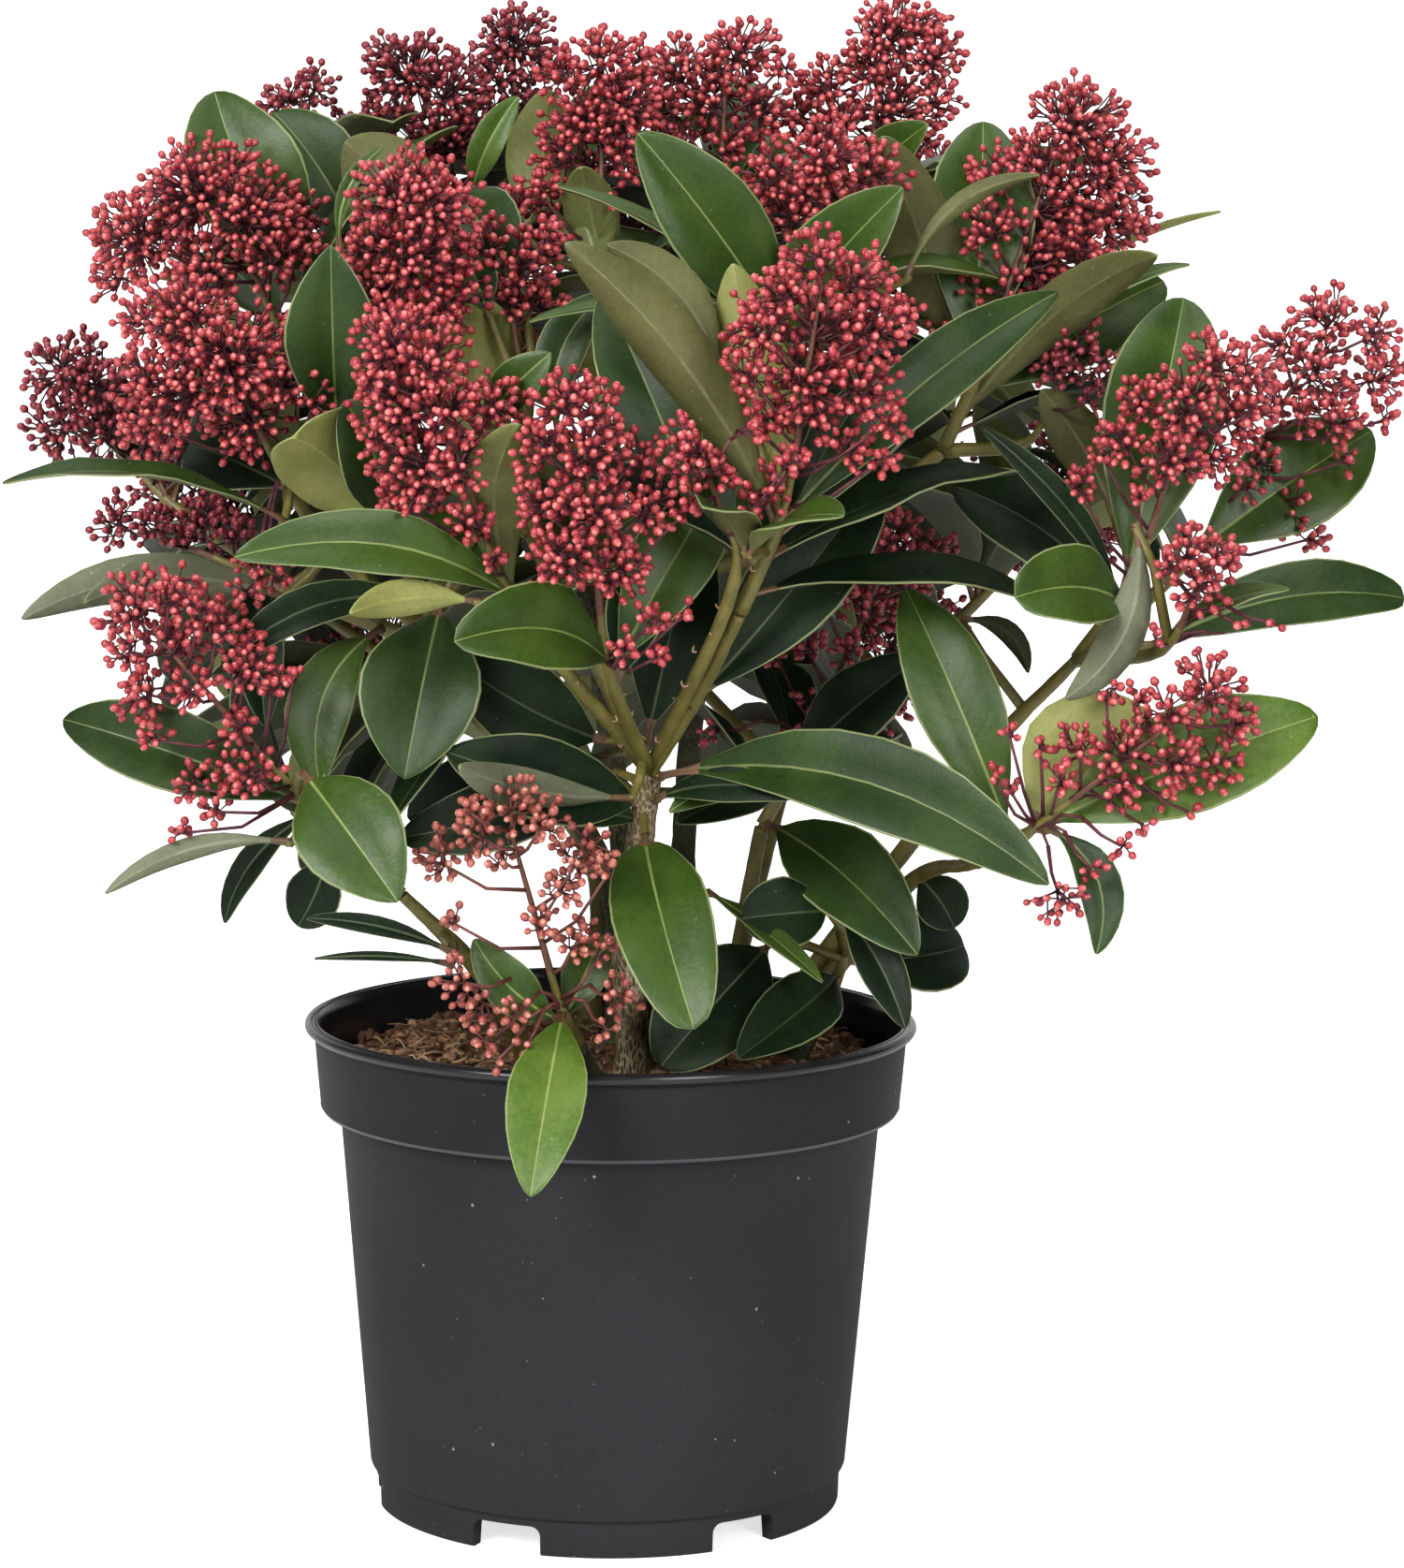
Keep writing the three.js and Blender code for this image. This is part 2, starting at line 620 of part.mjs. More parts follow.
function addNode(name, solid, kind) {
  const [color, roughness] = COLOURS[kind];
  const material = new THREE.MeshStandardMaterial({ color, roughness, metalness: 0 });
  const mesh = new THREE.Mesh(geometryOf(solid), material);
  mesh.name = name;
  plant.add(mesh);
}

const limbTips = new Map();
const fatRods = [];

function growLimb([name, parent, footRadius, tipRadius, ...route]) {
  const points = route.map((p) => vector(...p));
  if (parent) {
    const tip = limbTips.get(parent);
    const towards = points[0].clone().sub(tip).normalize();
    points.unshift(tip.clone().addScaledVector(towards, 1));
  }
  const sides = parent ? BOUGH_SIDES : STEM_SIDES;
  const flare = (t) => (parent ? 0 : 0.45 * Math.exp(-14 * t));
  const radiusAt = (t) => THREE.MathUtils.lerp(footRadius, tipRadius, t) * (1 + flare(t));
  const footNormal = parent ? null : UP;
  const steps = parent ? 3 : 5;
  const whole = rod(points, sides, steps, radiusAt, footNormal);
  const solid = cutClear(whole, name, fatRods);
  const fat = rod(longer(points), sides, steps, (t) => radiusAt(t) + 2 * CLEAR, footNormal);
  fatRods.push({ owner: name, solid: fat });
  limbTips.set(name, points[points.length - 1]);
  take(name, solid);
  addNode(name, solid, parent ? "bough" : "stem");
}

// The same route with its far end 0.3 mm further on, so that what starts there is cut clear of it.
function longer(points) {
  const last = points[points.length - 1];
  const before = points[points.length - 2];
  const beyond = last.clone().sub(before).setLength(CLEAR);
  return [...points.slice(0, -1), last.clone().add(beyond)];
}

// The flower head's half width at t from its foot to its top, as a share of its spread.
function headOutline(t) {
  return Math.sin(Math.PI * t ** 0.75) ** 0.7;
}

function growCore(shoot, index) {
  const owner = "shoot_" + shoot.name;
  const random = seededRandom(index + 1);
  const node = vector(...shoot.node);
  const top = vector(...shoot.top);
  const foot = limbTips.get(shoot.limb);
  const axis = top.clone().sub(node);
  const height = axis.length();
  axis.normalize();
  const towards = node.clone().sub(foot).normalize();
  const start = foot.clone().addScaledVector(towards, 1);
  const twigLength = start.distanceTo(node);
  const route = [start, node, node.clone().lerp(top, 0.5), top];
  const nodeAt = twigLength / (twigLength + height);
  const radiusAt = (t) =>
    t < nodeAt
      ? THREE.MathUtils.lerp(TWIG_FOOT, TWIG_NODE, t / nodeAt)
      : THREE.MathUtils.lerp(TWIG_NODE, TWIG_TIP, (t - nodeAt) / (1 - nodeAt));
  const twig = cutClear(rod(route, TWIG_SIDES, 6, radiusAt), owner, fatRods);
  const fatFoot = rod(route, TWIG_SIDES, 6, (t) => radiusAt(t) + 3 * CLEAR);
  fatRods.push({ owner, solid: fatFoot });
  take(owner, twig);
  const { side, normal } = frameOf(axis, Math.abs(axis.z) > 0.9 ? vector(0, 1, 0) : UP);
  return { owner, shoot, random, node, axis, side, normal, start, pieces: [twig] };
}

// The head is slimmer where its neighbours leave less room.
function growHead(core) {
  if (!core.shoot.spread) return;
  const isRoomy = (share) => isFree(core.owner, headSolid(core, share));
  const scale = HEAD_SCALES.find((share) => isRoomy(share) && isRoomy(share + HEAD_ROOM));
  if (!scale) throw new Error(core.owner + " has no room for its head");
  const head = headSolid(core, scale);
  core.pieces.push(head);
  take(core.owner, head);
}

function growLeaf(core, leaf) {
  const solid = leafSolid(leaf);
  if (!isFree(core.owner, solid) || !isFree(core.owner, leafSolid(leaf, LEAF_ROOM))) return false;
  core.pieces.push(solid);
  take(core.owner, solid);
  return true;
}

function rootBelow(core, distance) {
  const away = core.start.clone().sub(core.node);
  const reach = Math.min(distance, BELOW_SHARE * away.length());
  return core.node.clone().addScaledVector(away.normalize(), reach);
}

// A known leaf keeps its look from the front: where its place is taken it moves nearer or further.
function growKnownLeaves(core) {
  for (const [x, y, z, width, face, below] of core.shoot.leaves) {
    const root = rootBelow(core, below);
    DEPTH_STEPS.some((step) =>
      growLeaf(core, { root, tip: vector(x, y + step, z), width, upper: UPPER_SIDE[face] }));
  }
}

// Spare leaves stand round the twig by the golden angle and look up along it.
function growSpareLeaves(core) {
  const { shoot, random } = core;
  const first = 360 * random();
  let grown = 0;
  for (let i = 0; i < 3 * shoot.spare && grown < shoot.spare; i += 1) {
    const turn = (first + i * GOLDEN_ANGLE) * DEGREE;
    const lean = (SPARE_LEAN + SPARE_LEAN_MORE * random()) * DEGREE;
    const length = SPARE_LENGTH + SPARE_LENGTH_MORE * random();
    const out = core.side.clone().multiplyScalar(Math.cos(turn));
    out.addScaledVector(core.normal, Math.sin(turn));
    const along = core.axis.clone().multiplyScalar(Math.cos(lean));
    along.addScaledVector(out, Math.sin(lean));
    const root = rootBelow(core, SPARE_ROOT + (SPARE_ROOT_MORE * i) / (3 * shoot.spare));
    const tip = root.clone().addScaledVector(along, length);
    const leaf = { root, tip, width: SPARE_WIDTH * length, upper: core.axis };
    if (CROWN.containsPoint(tip) && growLeaf(core, leaf)) grown += 1;
  }
}

addNode("pot", potSolid(), "pot");
addNode("soil", soilSolid(), "soil");
const potSpace = new THREE.CylinderGeometry(RIM_RADIUS + 1, BODY_FOOT_RADIUS, SOIL_TOP, 24);
potSpace.rotateX(Math.PI / 2).translate(0, 0, SOIL_TOP / 2);
take("pot", manifoldOf(potSpace));
LIMBS.forEach(growLimb);
const cores = SHOOTS.map(growCore);
cores.forEach(growHead);
cores.forEach(growKnownLeaves);
cores.forEach(growSpareLeaves);
for (const core of cores) {
  const mass = core.pieces.reduce((whole, piece) => whole.add(piece));
  addNode(core.owner, mainBody(mass), "shoot");
}

export default plant;
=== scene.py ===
"""A skimmia in a black three-litre nursery pot: the finished plant, on a pale studio floor.

Blender's unit is the metre. Lengths below are in millimetres, as the solids' are, and MM turns them
into metres. Z is up, and the plant's front looks along -Y.
"""
import math

import bpy
import numpy as np
from mathutils import Matrix, Vector
from mathutils.bvhtree import BVHTree


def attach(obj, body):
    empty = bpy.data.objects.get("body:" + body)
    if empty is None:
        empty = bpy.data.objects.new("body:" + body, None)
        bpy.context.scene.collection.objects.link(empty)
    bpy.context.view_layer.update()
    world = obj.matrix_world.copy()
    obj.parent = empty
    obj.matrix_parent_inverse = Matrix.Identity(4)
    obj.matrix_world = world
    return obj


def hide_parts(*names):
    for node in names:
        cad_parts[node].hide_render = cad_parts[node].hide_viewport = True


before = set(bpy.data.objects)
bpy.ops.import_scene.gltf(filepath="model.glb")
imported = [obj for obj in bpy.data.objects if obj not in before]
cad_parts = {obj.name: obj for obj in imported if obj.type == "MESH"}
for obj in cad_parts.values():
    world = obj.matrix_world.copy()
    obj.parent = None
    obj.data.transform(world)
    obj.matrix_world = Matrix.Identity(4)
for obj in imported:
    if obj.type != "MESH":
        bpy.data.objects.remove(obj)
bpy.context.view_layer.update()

MM = 0.001
UP = Vector((0, 0, 1))

# ---- Pot and soil ----
RIM_RADIUS = 95
POT_HEIGHT = 152
COLLAR_HEIGHT = 28
COLLAR_FOOT = POT_HEIGHT - COLLAR_HEIGHT
COLLAR_TOP_RADIUS = 92
COLLAR_FOOT_RADIUS = 90
BODY_TOP_RADIUS = 84
BODY_FOOT_RADIUS = 74.5
FOOT_RADIUS = 72.5
FOOT_HEIGHT = 12
WALL = 2
FLOOR_TOP = 11
PAD_RADIUS = 22
FEET = 6
NOTCH_WIDTH = 22.5
NOTCH_HEIGHT = 9
FIRST_NOTCH = 36  # degrees from the front to the middle of the first notch
SOIL_TOP = 138
SOIL_LEVEL = 138.3  # where the stems come out of it

# ---- Camera ----
CAMERA_PLACE = (27.6, -1450, 415)
CAMERA_DOWN = 7.45  # degrees below the horizon
CAMERA_ROLL = 0.55
CAMERA_LENS = 108.65  # mm
CAMERA_HEIGHT = 36  # mm, the height of its frame
EYE = Vector(CAMERA_PLACE)
FRAME_WIDTH = 1500  # the frame in its own units
FRAME_HEIGHT = 1675
FRAME_LENS = 5055  # the lens in those units

# ---- Growth ----
TWIG_FOOT = 2.3  # twig radius where it leaves its bough
TWIG_NODE = 1.9  # at the whorl of leaves
AXIS_FOOT = 1.3  # the flower head's axis just above the whorl
TWIG_TIP = 0.6  # at the top of the flower head
LEAF_SUNK = 0.8  # how far a leaf's root goes past the twig's axis
LEAF_ARCH = 0.1  # how far the middle rises, as a share of the length
LEAF_FLOOR = 165
CROWN_LEFT = -190
CROWN_RIGHT = 242
CROWN_FRONT = -160
CROWN_BACK = 215
GOLDEN_ANGLE = 137.5
FULLER = 3.2  # spare leaves here for each one in the solids
SPARE_TURNS = 5  # tries for each spare leaf
SPARE_LEAN = 62  # degrees from the twig's axis
SPARE_LEAN_MORE = 38
SPARE_LENGTH = 70
SPARE_LENGTH_MORE = 34
SPARE_WIDTH = 0.3  # as a share of the length
SPARE_ROOT = 3  # mm below the whorl's top
SPARE_ROOT_MORE = 34
PAINTED_SHADE_BELOW = 12  # how far down the twig a spare leaf gets the darkest tone, painted shade for leaves deep in the crown
BACK_FROM = 90  # the depth past which a shoot's spare leaves may look any way
# The crown's edge and the open places in it as they look from EYE: x and z where Y is 0
CROWN_EDGE = [
    (-90, 160), (-90, 190), (-120, 215), (-145, 255), (-150, 330), (-155, 370), (-140, 410), (-100, 435),
    (-30, 450), (70, 450), (150, 425), (165, 380), (190, 350), (190, 305), (135, 285), (115, 265),
    (115, 205), (90, 160)]
OPEN_PLACES = [(-60, 100, 172, 220), (108, 145, 222, 280), (0, 10, 334, 348)]  # x from, x to, z from, z to

# Stems, each from the soil, and boughs, each from the tip of the limb it names:
# name, parent, radius at the foot, radius at the tip, points after the parent's tip
LIMBS = [
    ("stem_front", None, 5.2, 3.9, (8, -30, SOIL_LEVEL), (6, -40, 185), (12, -55, 236)),
    ("stem_left", None, 3.6, 1.9, (-22, -20, SOIL_LEVEL), (-39, -50, 175), (-61, -60, 199)),
    ("stem_left_back", None, 3.8, 3.0, (2, 20, SOIL_LEVEL), (-2, 28, 192), (-50, 25, 262)),
    ("stem_back", None, 4.2, 3.4, (8, 52, SOIL_LEVEL), (2, 56, 200), (-12, 80, 300)),
    ("stem_mid", None, 4.2, 3.5, (24, 34, SOIL_LEVEL), (22, 40, 200), (28, 18, 290)),
    ("stem_inner", None, 3.0, 2.2, (34, 8, SOIL_LEVEL), (41, 4, 182), (46, 0, 212)),
    ("stem_right", None, 3.4, 1.8, (48, 2, SOIL_LEVEL), (91, 0, 194), (110, -50, 209)),
    ("stem_right_high", None, 3.4, 1.8, (44, 18, SOIL_LEVEL), (110, -8, 232), (140, -30, 268)),
    ("stem_low_front", None, 3.0, 2.4, (-1, -60, SOIL_LEVEL), (-8, -73, 156)),
    ("stem_low_right", None, 3.0, 2.4, (57, -6, SOIL_LEVEL), (67, -14, 160)),
    ("stem_back_left", None, 3.2, 2.4, (-8, 50, SOIL_LEVEL), (-8, 72, 190), (-45, 98, 232)),
    ("stem_back_right", None, 3.2, 2.4, (34, 54, SOIL_LEVEL), (55, 98, 215)),
    ("bough_front_right", "stem_front", 2.4, 2.0, (28, -76, 265), (38, -94, 287)),
    ("bough_front_mid", "stem_front", 2.6, 2.2, (-8, -54, 276), (-24, -48, 306)),
    ("bough_left", "stem_left_back", 2.8, 2.3, (-72, 5, 283), (-88, -14, 300)),
    ("bough_left_back", "stem_left_back", 2.7, 2.2, (-80, 35, 272), (-100, 36, 280)),
    ("bough_left_high", "stem_left_back", 2.8, 2.3, (-74, 24, 305), (-91, 14, 336)),
    ("bough_back_left", "stem_back", 3.0, 2.4, (-35, 92, 340), (-50, 98, 372)),
    ("bough_back_mid", "stem_back", 2.9, 2.4, (-4, 100, 320), (4, 122, 345)),
    ("bough_centre_left", "stem_mid", 2.8, 2.3, (12, 16, 325), (4, 15, 352)),
    ("bough_centre_right", "stem_mid", 2.8, 2.3, (36, 8, 315), (40, 2, 338)),
    ("bough_back_right", "stem_mid", 2.8, 2.3, (50, 34, 325), (64, 50, 362)),
    ("bough_right_high", "stem_mid", 2.4, 2.0, (66, 24, 302), (101, 14, 328)),
]

# Shoots: name, limb, node (the whorl of leaves), top (of the flower head), the head's half width,
# spare leaves by rule, leaf tone, bud tone, and the leaves whose place is known:
# tip x, y, z, width, the way the upper side looks, root below the node, and then, where it isn't
# the usual one, its tone, arch, sweep (towards the leaf's left), twist in degrees, tip and fold
SHOOTS = [
    ("front_centre", "stem_front", (0, -96, 273), (-8, -125, 353), 24, 0, "mid", "rose", [
        (-41, -150, 284, 26, "front", 4, "mid", 0.1, -0.08, 0, 0.5),
        (34, -70, 326, 25, "front", 6),
        (126, -125, 214, 27, "front", (15, -60, 235), "dark", 0.06, 0.1, 0),
        (-41, -124, 246, 12, "back", (7, -68, 230), "grey", 0.05, -0.06, 40),
        (-47, -84, 245, 26, "front", (11, -50, 226), "deep", 0.08, 0.04, 0),
        (13, -62, 300, 19, "front", 12, "deep"),
        (57, -85, 233, 11, "front", (14, -58, 228), "deep", 0.08, 0.06, 0),
        (26, -128, 172, 29, "front", (11, -66, 218), "mid", 0.12, -0.02, 0, 0.42),
        (-33, -78, 231, 12, "front", (11, -48, 220), "deep", 0.06, 0.0, 0),
        (25, -32, 308, 27, "front", (11, -42, 244), "deep", 0.06, 0.0, 0),
        (-46, -58, 269, 27, "front", (-1, -46, 244), "deep", 0.08, 0.06, 0)]),
    ("front_right", "bough_front_right", (50, -108, 318), (62, -125, 397), 29, 2, "mid", "scarlet", [
        (-12, -120, 393, 19, "back", 6, "dark", 0.06, 0.06, 5, 0.62, 0.45),
        (-1, -84, 392, 15, "back", (31, -90, 356), "dark", 0.1, 0.12, 0),
        (-2, -76, 378, 26, "front", (27, -92, 313), "dark", 0.1, 0.0, 0),
        (35, -80, 387, 24, "back", 3, "fresh", 0.1, 0.0, 0),
        (80, -58, 327, 29, "front", (24, -72, 258), "deep", 0.08, -0.03, 0),
        (130, -60, 379, 20, "front", 9, "dark", 0.08, 0.03, 0),
        (27, -140, 321, 20, "up", (39, -112, 306), "dark", 0.1, 0.0, -20),
        (66, -142, 319, 20, "up", (40, -112, 305), "mid", 0.1, 0.0, 25)]),
    ("front_right_low", "stem_front", (37, -110, 304), (25, -128, 339), 15, 0, "mid", "coral", []),
    ("left_centre", "stem_front", (-28, -85, 291), (-58, -112, 373), 26, 2, "mid", "rose", [
        (-25, -114, 342, 19, "back", 4, "mid", 0.1, -0.12, 0),
        (-105, -118, 304, 19, "front", 5, "mid", 0.1, -0.1, 0),
        (-72, -122, 289, 11, "back", (-37, -98, 290), "fresh", 0.08, 0.05, 0)]),
    ("mid", "bough_front_mid", (-25, -45, 341), (-35, -30, 397), 17, 3, "mid", "rose", [
        (-42, -44, 376, 31, "back", (-36, -46, 331), "fresh", 0.1, -0.04, 0, 0.45),
        (-17, -85, 361, 14, "front", (-37, -70, 340), "mid", 0.1, 0.0, 0),
        (-2, -42, 377, 15, "front", (-15, -50, 335), "dark", 0.1, 0.16, 0),
        (0, -38, 373, 14, "back", (-4, -46, 334), "fresh", 0.1, 0.0, 0),
        (-44, -38, 388, 13, "front", (-37, -42, 371), "dark", 0.1, 0.0, 0),
        (-49, 0, 406, 24, "front", (-27, -30, 377), "dark", 0.1, 0.0, 0)]),
    ("mid_left", "bough_front_mid", (-62, -52, 334), (-61, -66, 414), 24, 2, "mid", "rose", [
        (-81, -76, 391, 28, "front", (-81, -52, 334), "dark", 0.06, 0.0, 0, 0.8),
        (-90, -98, 337, 33, "back", (-66, -62, 306), "fresh", 0.1, 0.05, 0, 0.42),
        (-76, -88, 347, 22, "front", (-65, -60, 309), "dark", 0.1, -0.05, 0, 0.5),
        (-81, -22, 421, 28, "back", (-58, -30, 391), "dark", 0.1, 0.06, 0),
        (-59, -84, 237, 36, "front", (-50, -56, 286), "dark", 0.08, 0.0, 0, 0.75),
        (-85, -66, 232, 20, "front", (-68, -48, 277), "mid", 0.1, -0.16, 0),
        (-114, -66, 267, 13, "front", (-51, -50, 284), "deep", 0.1, -0.13, 0),
        (-68, -48, 419, 5, "front", (-80, -50, 390), "mid", 0.1, 0.13, 0)]),
    ("left", "bough_left", (-98, -45, 323), (-124, -62, 378), 29, 2, "mid", "rose", [
        (-175, -85, 322, 14, "up", (-97, -50, 309), "dark", 0.1, 0.0, 0),
        (-120, -15, 373, 22, "back", 6),
        (-139, -30, 376, 15, "back", 9),
        (-129, -10, 329, 24, "front", 10, "deep")]),
    ("upper_left", "bough_left_high", (-103, 8, 363), (-129, 0, 420), 33, 3, "mid", "rose", [
        (-125, 28, 436, 36, "front", (-91, 22, 378), "mid", 0.1, 0.08, 0),
        (-109, 52, 430, 27, "front", (-82, 48, 389), "dark", 0.1, -0.04, 0)]),
    ("far_left", "bough_left_back", (-148, 55, 312), (-179, 60, 355), 21, 4, "deep", "crimson", [
        (-167, 85, 344, 20, "front", 5)]),
    ("low_left_back", "bough_left_back", (-117, 15, 290), (-159, 30, 304), 15, 2, "deep", "crimson", [
        (-180, -15, 276, 14, "back", (-101, -8, 285), "grey", 0.06, 0.1, 0),
        (-157, -45, 284, 15, "back", (-101, -12, 283), "grey", 0.06, 0.09, 0),
        (-106, -15, 244, 16, "front", 9)]),
    ("top_left_back", "bough_back_left", (-103, 115, 410), (-107, 120, 443), 19, 4, "mid", "crimson", []),
    ("top_left", "bough_back_left", (-59, 90, 403), (-65, 95, 454), 27, 4, "mid", "crimson", [
        (-33, 72, 436, 11, "front", (-48, 76, 403), "fresh", 0.1, 0.05, 0)]),
    ("top_mid_back", "bough_back_left", (-35, 115, 416), (-37, 120, 464), 18, 4, "mid", "crimson", []),
    ("top_mid", "bough_centre_left", (-5, 15, 382), (-5, 22, 457), 26, 2, "mid", "scarlet", [
        (-23, 40, 438, 24, "back", (-30, 38, 393), "mid", 0.1, 0.05, 0),
        (-11, 0, 414, 17, "back", 6),
        (-14, 12, 409, 18, "back", (-5, 8, 382), "mid", 0.1, 0.0, 0)]),
    ("top_right_mid", "bough_centre_right", (32, 40, 404), (33, 42, 458), 27, 4, "mid", "coral", [
        (40, 90, 442, 18, "front", 3)]),
    ("top_right", "bough_back_right", (78, 60, 409), (84, 62, 466), 29, 4, "mid", "coral", [
        (95, 15, 428, 18, "front", 4)]),
    ("mid_right", "bough_centre_right", (51, -28, 368), (62, -28, 433), 34, 2, "mid", "scarlet", [
        (7, -60, 424, 30, "front", 4),
        (84, -70, 409, 26, "front", 5),
        (-17, -25, 408, 11, "up", 7),
        (125, -48, 413, 6, "back", (87, -40, 382), "dark", 0.08, -0.15, 0),
        (-24, -62, 369, 11, "up", 8)]),
    ("upper_right", "bough_right_high", (111, 0, 354), (140, 10, 438), 34, 2, "mid", "coral", [
        (80, -12, 424, 24, "back", 5, "dark", 0.1, 0.0, 0),
        (113, 35, 429, 33, "front", 5, "mid", 0.1, 0.0, 0),
        (160, -48, 390, 17, "back", 24, "dark", 0.1, -0.05, 0),
        (189, 50, 402, 8, "left", 8, "fresh", 0.1, 0.0, 0),
        (176, 15, 386, 14, "up", 9),
        (171, 45, 380, 29, "front", 12)]),
    ("right", "stem_right_high", (155, -45, 294), (176, -60, 364), 29, 2, "mid", "coral", [
        (173, 0, 376, 36, "front", 5),
        (116, -110, 294, 24, "front", (150, -75, 289), "mid", 0.08, -0.06, 0, 0.36),
        (108, -65, 340, 9, "front", 8, "deep", 0.1, -0.04, 0),
        (103, -30, 320, 25, "front", 9, "deep", 0.1, -0.05, 0, 0.45),
        (130, -2, 348, 17, "back", (151, -10, 313), "dark", 0.1, 0.05, 0)]),
    ("far_right", "stem_right_high", (180, 15, 298), (227, 20, 379), 28, 2, "mid", "coral", [
        (237, 40, 334, 34, "front", 5),
        (241, -12, 286, 20, "front", (163, -40, 274), "dark", 0.06, 0.07, 0, 0.42)]),
    ("right_low", "stem_right_high", (163, -80, 278), (175, -100, 310), 15, 1, "mid", "coral", [
        (197, -85, 295, 15, "up", 4),
        (132, -98, 264, 13, "back", (152, -84, 313), "grey", 0.06, -0.17, 0)]),
    ("low_right", "stem_right", (124, -100, 227), (180, -120, 275), 25, 2, "mid", "coral", [
        (159, -92, 254, 37, "back", 3, "fresh", 0.08, -0.12, 0, 0.5),
        (206, -85, 258, 32, "front", 5, "fresh", 0.1, 0.0, 0),
        (141, -112, 192, 13, "front", (127, -98, 226), "dark", 0.06, 0.2, 0),
        (87, -62, 292, 26, "front", 22, "mid", 0.1, 0.0, 0)]),
    ("inner_right", "stem_inner", (61, 5, 239), (89, 8, 306), 26, 3, "deep", "garnet", [
        (92, -62, 183, 28, "front", (48, -2, 213), "dark", 0.08, 0.03, 0),
        (18, -62, 225, 10, "front", (51, -40, 227), "mid", 0.1, -0.12, 0),
        (94, -30, 269, 23, "front", 8),
        (127, -10, 262, 7, "back", (107, -4, 277), "deep", 0.05, -0.22, 0),
        (20, -42, 219, 15, "front", 20, "deep", 0.1, -0.03, 0)]),
    ("low_left", "stem_left", (-91, -72, 231), (-141, -92, 291), 33, 1, "mid", "rose", [
        (-58, -130, 208, 31, "front", (-87, -98, 240), "mid", 0.1, 0.0, 0, 0.7),
        (-162, -55, 250, 25, "front", 6, "dark", 0.1, 0.0, 0),
        (-145, -94, 204, 7, "back", (-92, -86, 218), "grey", 0.05, 0.1, 0),
        (-114, -58, 190, 9, "front", 8, "deep", 0.06, -0.1, 0),
        (-93, -50, 188, 17, "front", (-83, -56, 213), "deep", 0.08, 0.06, 0),
        (-88, -80, 195, 6, "front", (-46, -72, 184), "deep", 0.05, -0.05, 0),
        (-86, -74, 182, 3, "front", (-46, -70, 180), "deep", 0.05, -0.03, 0),
        (-63, -45, 214, 22, "front", (1, -36, 234), "deep", 0.1, 0.06, 0),
        (-62, -20, 217, 24, "front", (-1, -30, 238), "deep", 0.1, 0.0, 0),
        (-43, -8, 226, 26, "front", (3, -36, 231), "deep", 0.1, 0.0, 0)]),
    ("low_front", "stem_low_front", (-13, -84, 170), (-31, -104, 238), 32, 0, "mid", "salmon", [
        (-38, -96, 192, 15, "front", (-13, -86, 167), "mid", 0.08, 0.1, 0),
        (-20, -132, 124, 23, "front", 2, "fresh", 0.1, 0.0, 0),
        (-1, -74, 190, 14, "front", 5)]),
    ("right_back", "bough_right_high", (127, 6, 332), (143, -8, 367), 13, 4, "deep", "crimson", []),
    ("low_right_back", "stem_low_right", (72, -20, 176), (78, -18, 190), 0, 2, "deep", "crimson", [
        (40, -48, 191, 22, "front", (66, -38, 192), "deep", 0.06, 0.0, 0, 0.42),
        (110, 15, 173, 25, "front", 3, "deep", 0.1, -0.05, 0, 0.5),
        (106, -5, 182, 17, "front", (94, -4, 198), "deep", 0.08, 0.05, 0, 0.5),
        (64, -60, 174, 9, "up", (30, -30, 196), "mid", 0.08, -0.05, 0),
        (89, -58, 160, 14, "front", (69, -34, 192), "deep", 0.08, 0.05, 0),
        (39, -68, 152, 22, "front", 8, "deep", 0.1, 0.03, 25),
        (16, -55, 147, 33, "front", (49, -26, 180), "deep", 0.08, 0.0, 0, 0.5)]),
    ("back_left_high", "bough_back_mid", (-80, 150, 362), (-98, 178, 418), 28, 8, "mid", "plum", []),
    ("back_mid_high", "bough_back_mid", (2, 150, 384), (2, 172, 440), 28, 8, "mid", "plum", []),
    ("back_right_high", "bough_back_right", (92, 138, 366), (108, 165, 420), 28, 8, "mid", "plum", []),
    ("back_left_mid", "stem_back_left", (-122, 112, 286), (-150, 138, 335), 26, 8, "mid", "plum", []),
    ("back_right_mid", "stem_back_right", (130, 112, 286), (158, 138, 335), 26, 8, "mid", "plum", []),
    ("back_left_low", "stem_back_left", (-74, 148, 238), (-96, 178, 278), 24, 8, "mid", "plum", []),
    ("back_mid_low", "stem_back_right", (10, 150, 262), (8, 188, 306), 24, 8, "mid", "plum", []),
    ("back_right_low", "stem_back_right", (84, 148, 236), (104, 178, 276), 24, 8, "mid", "plum", []),
]
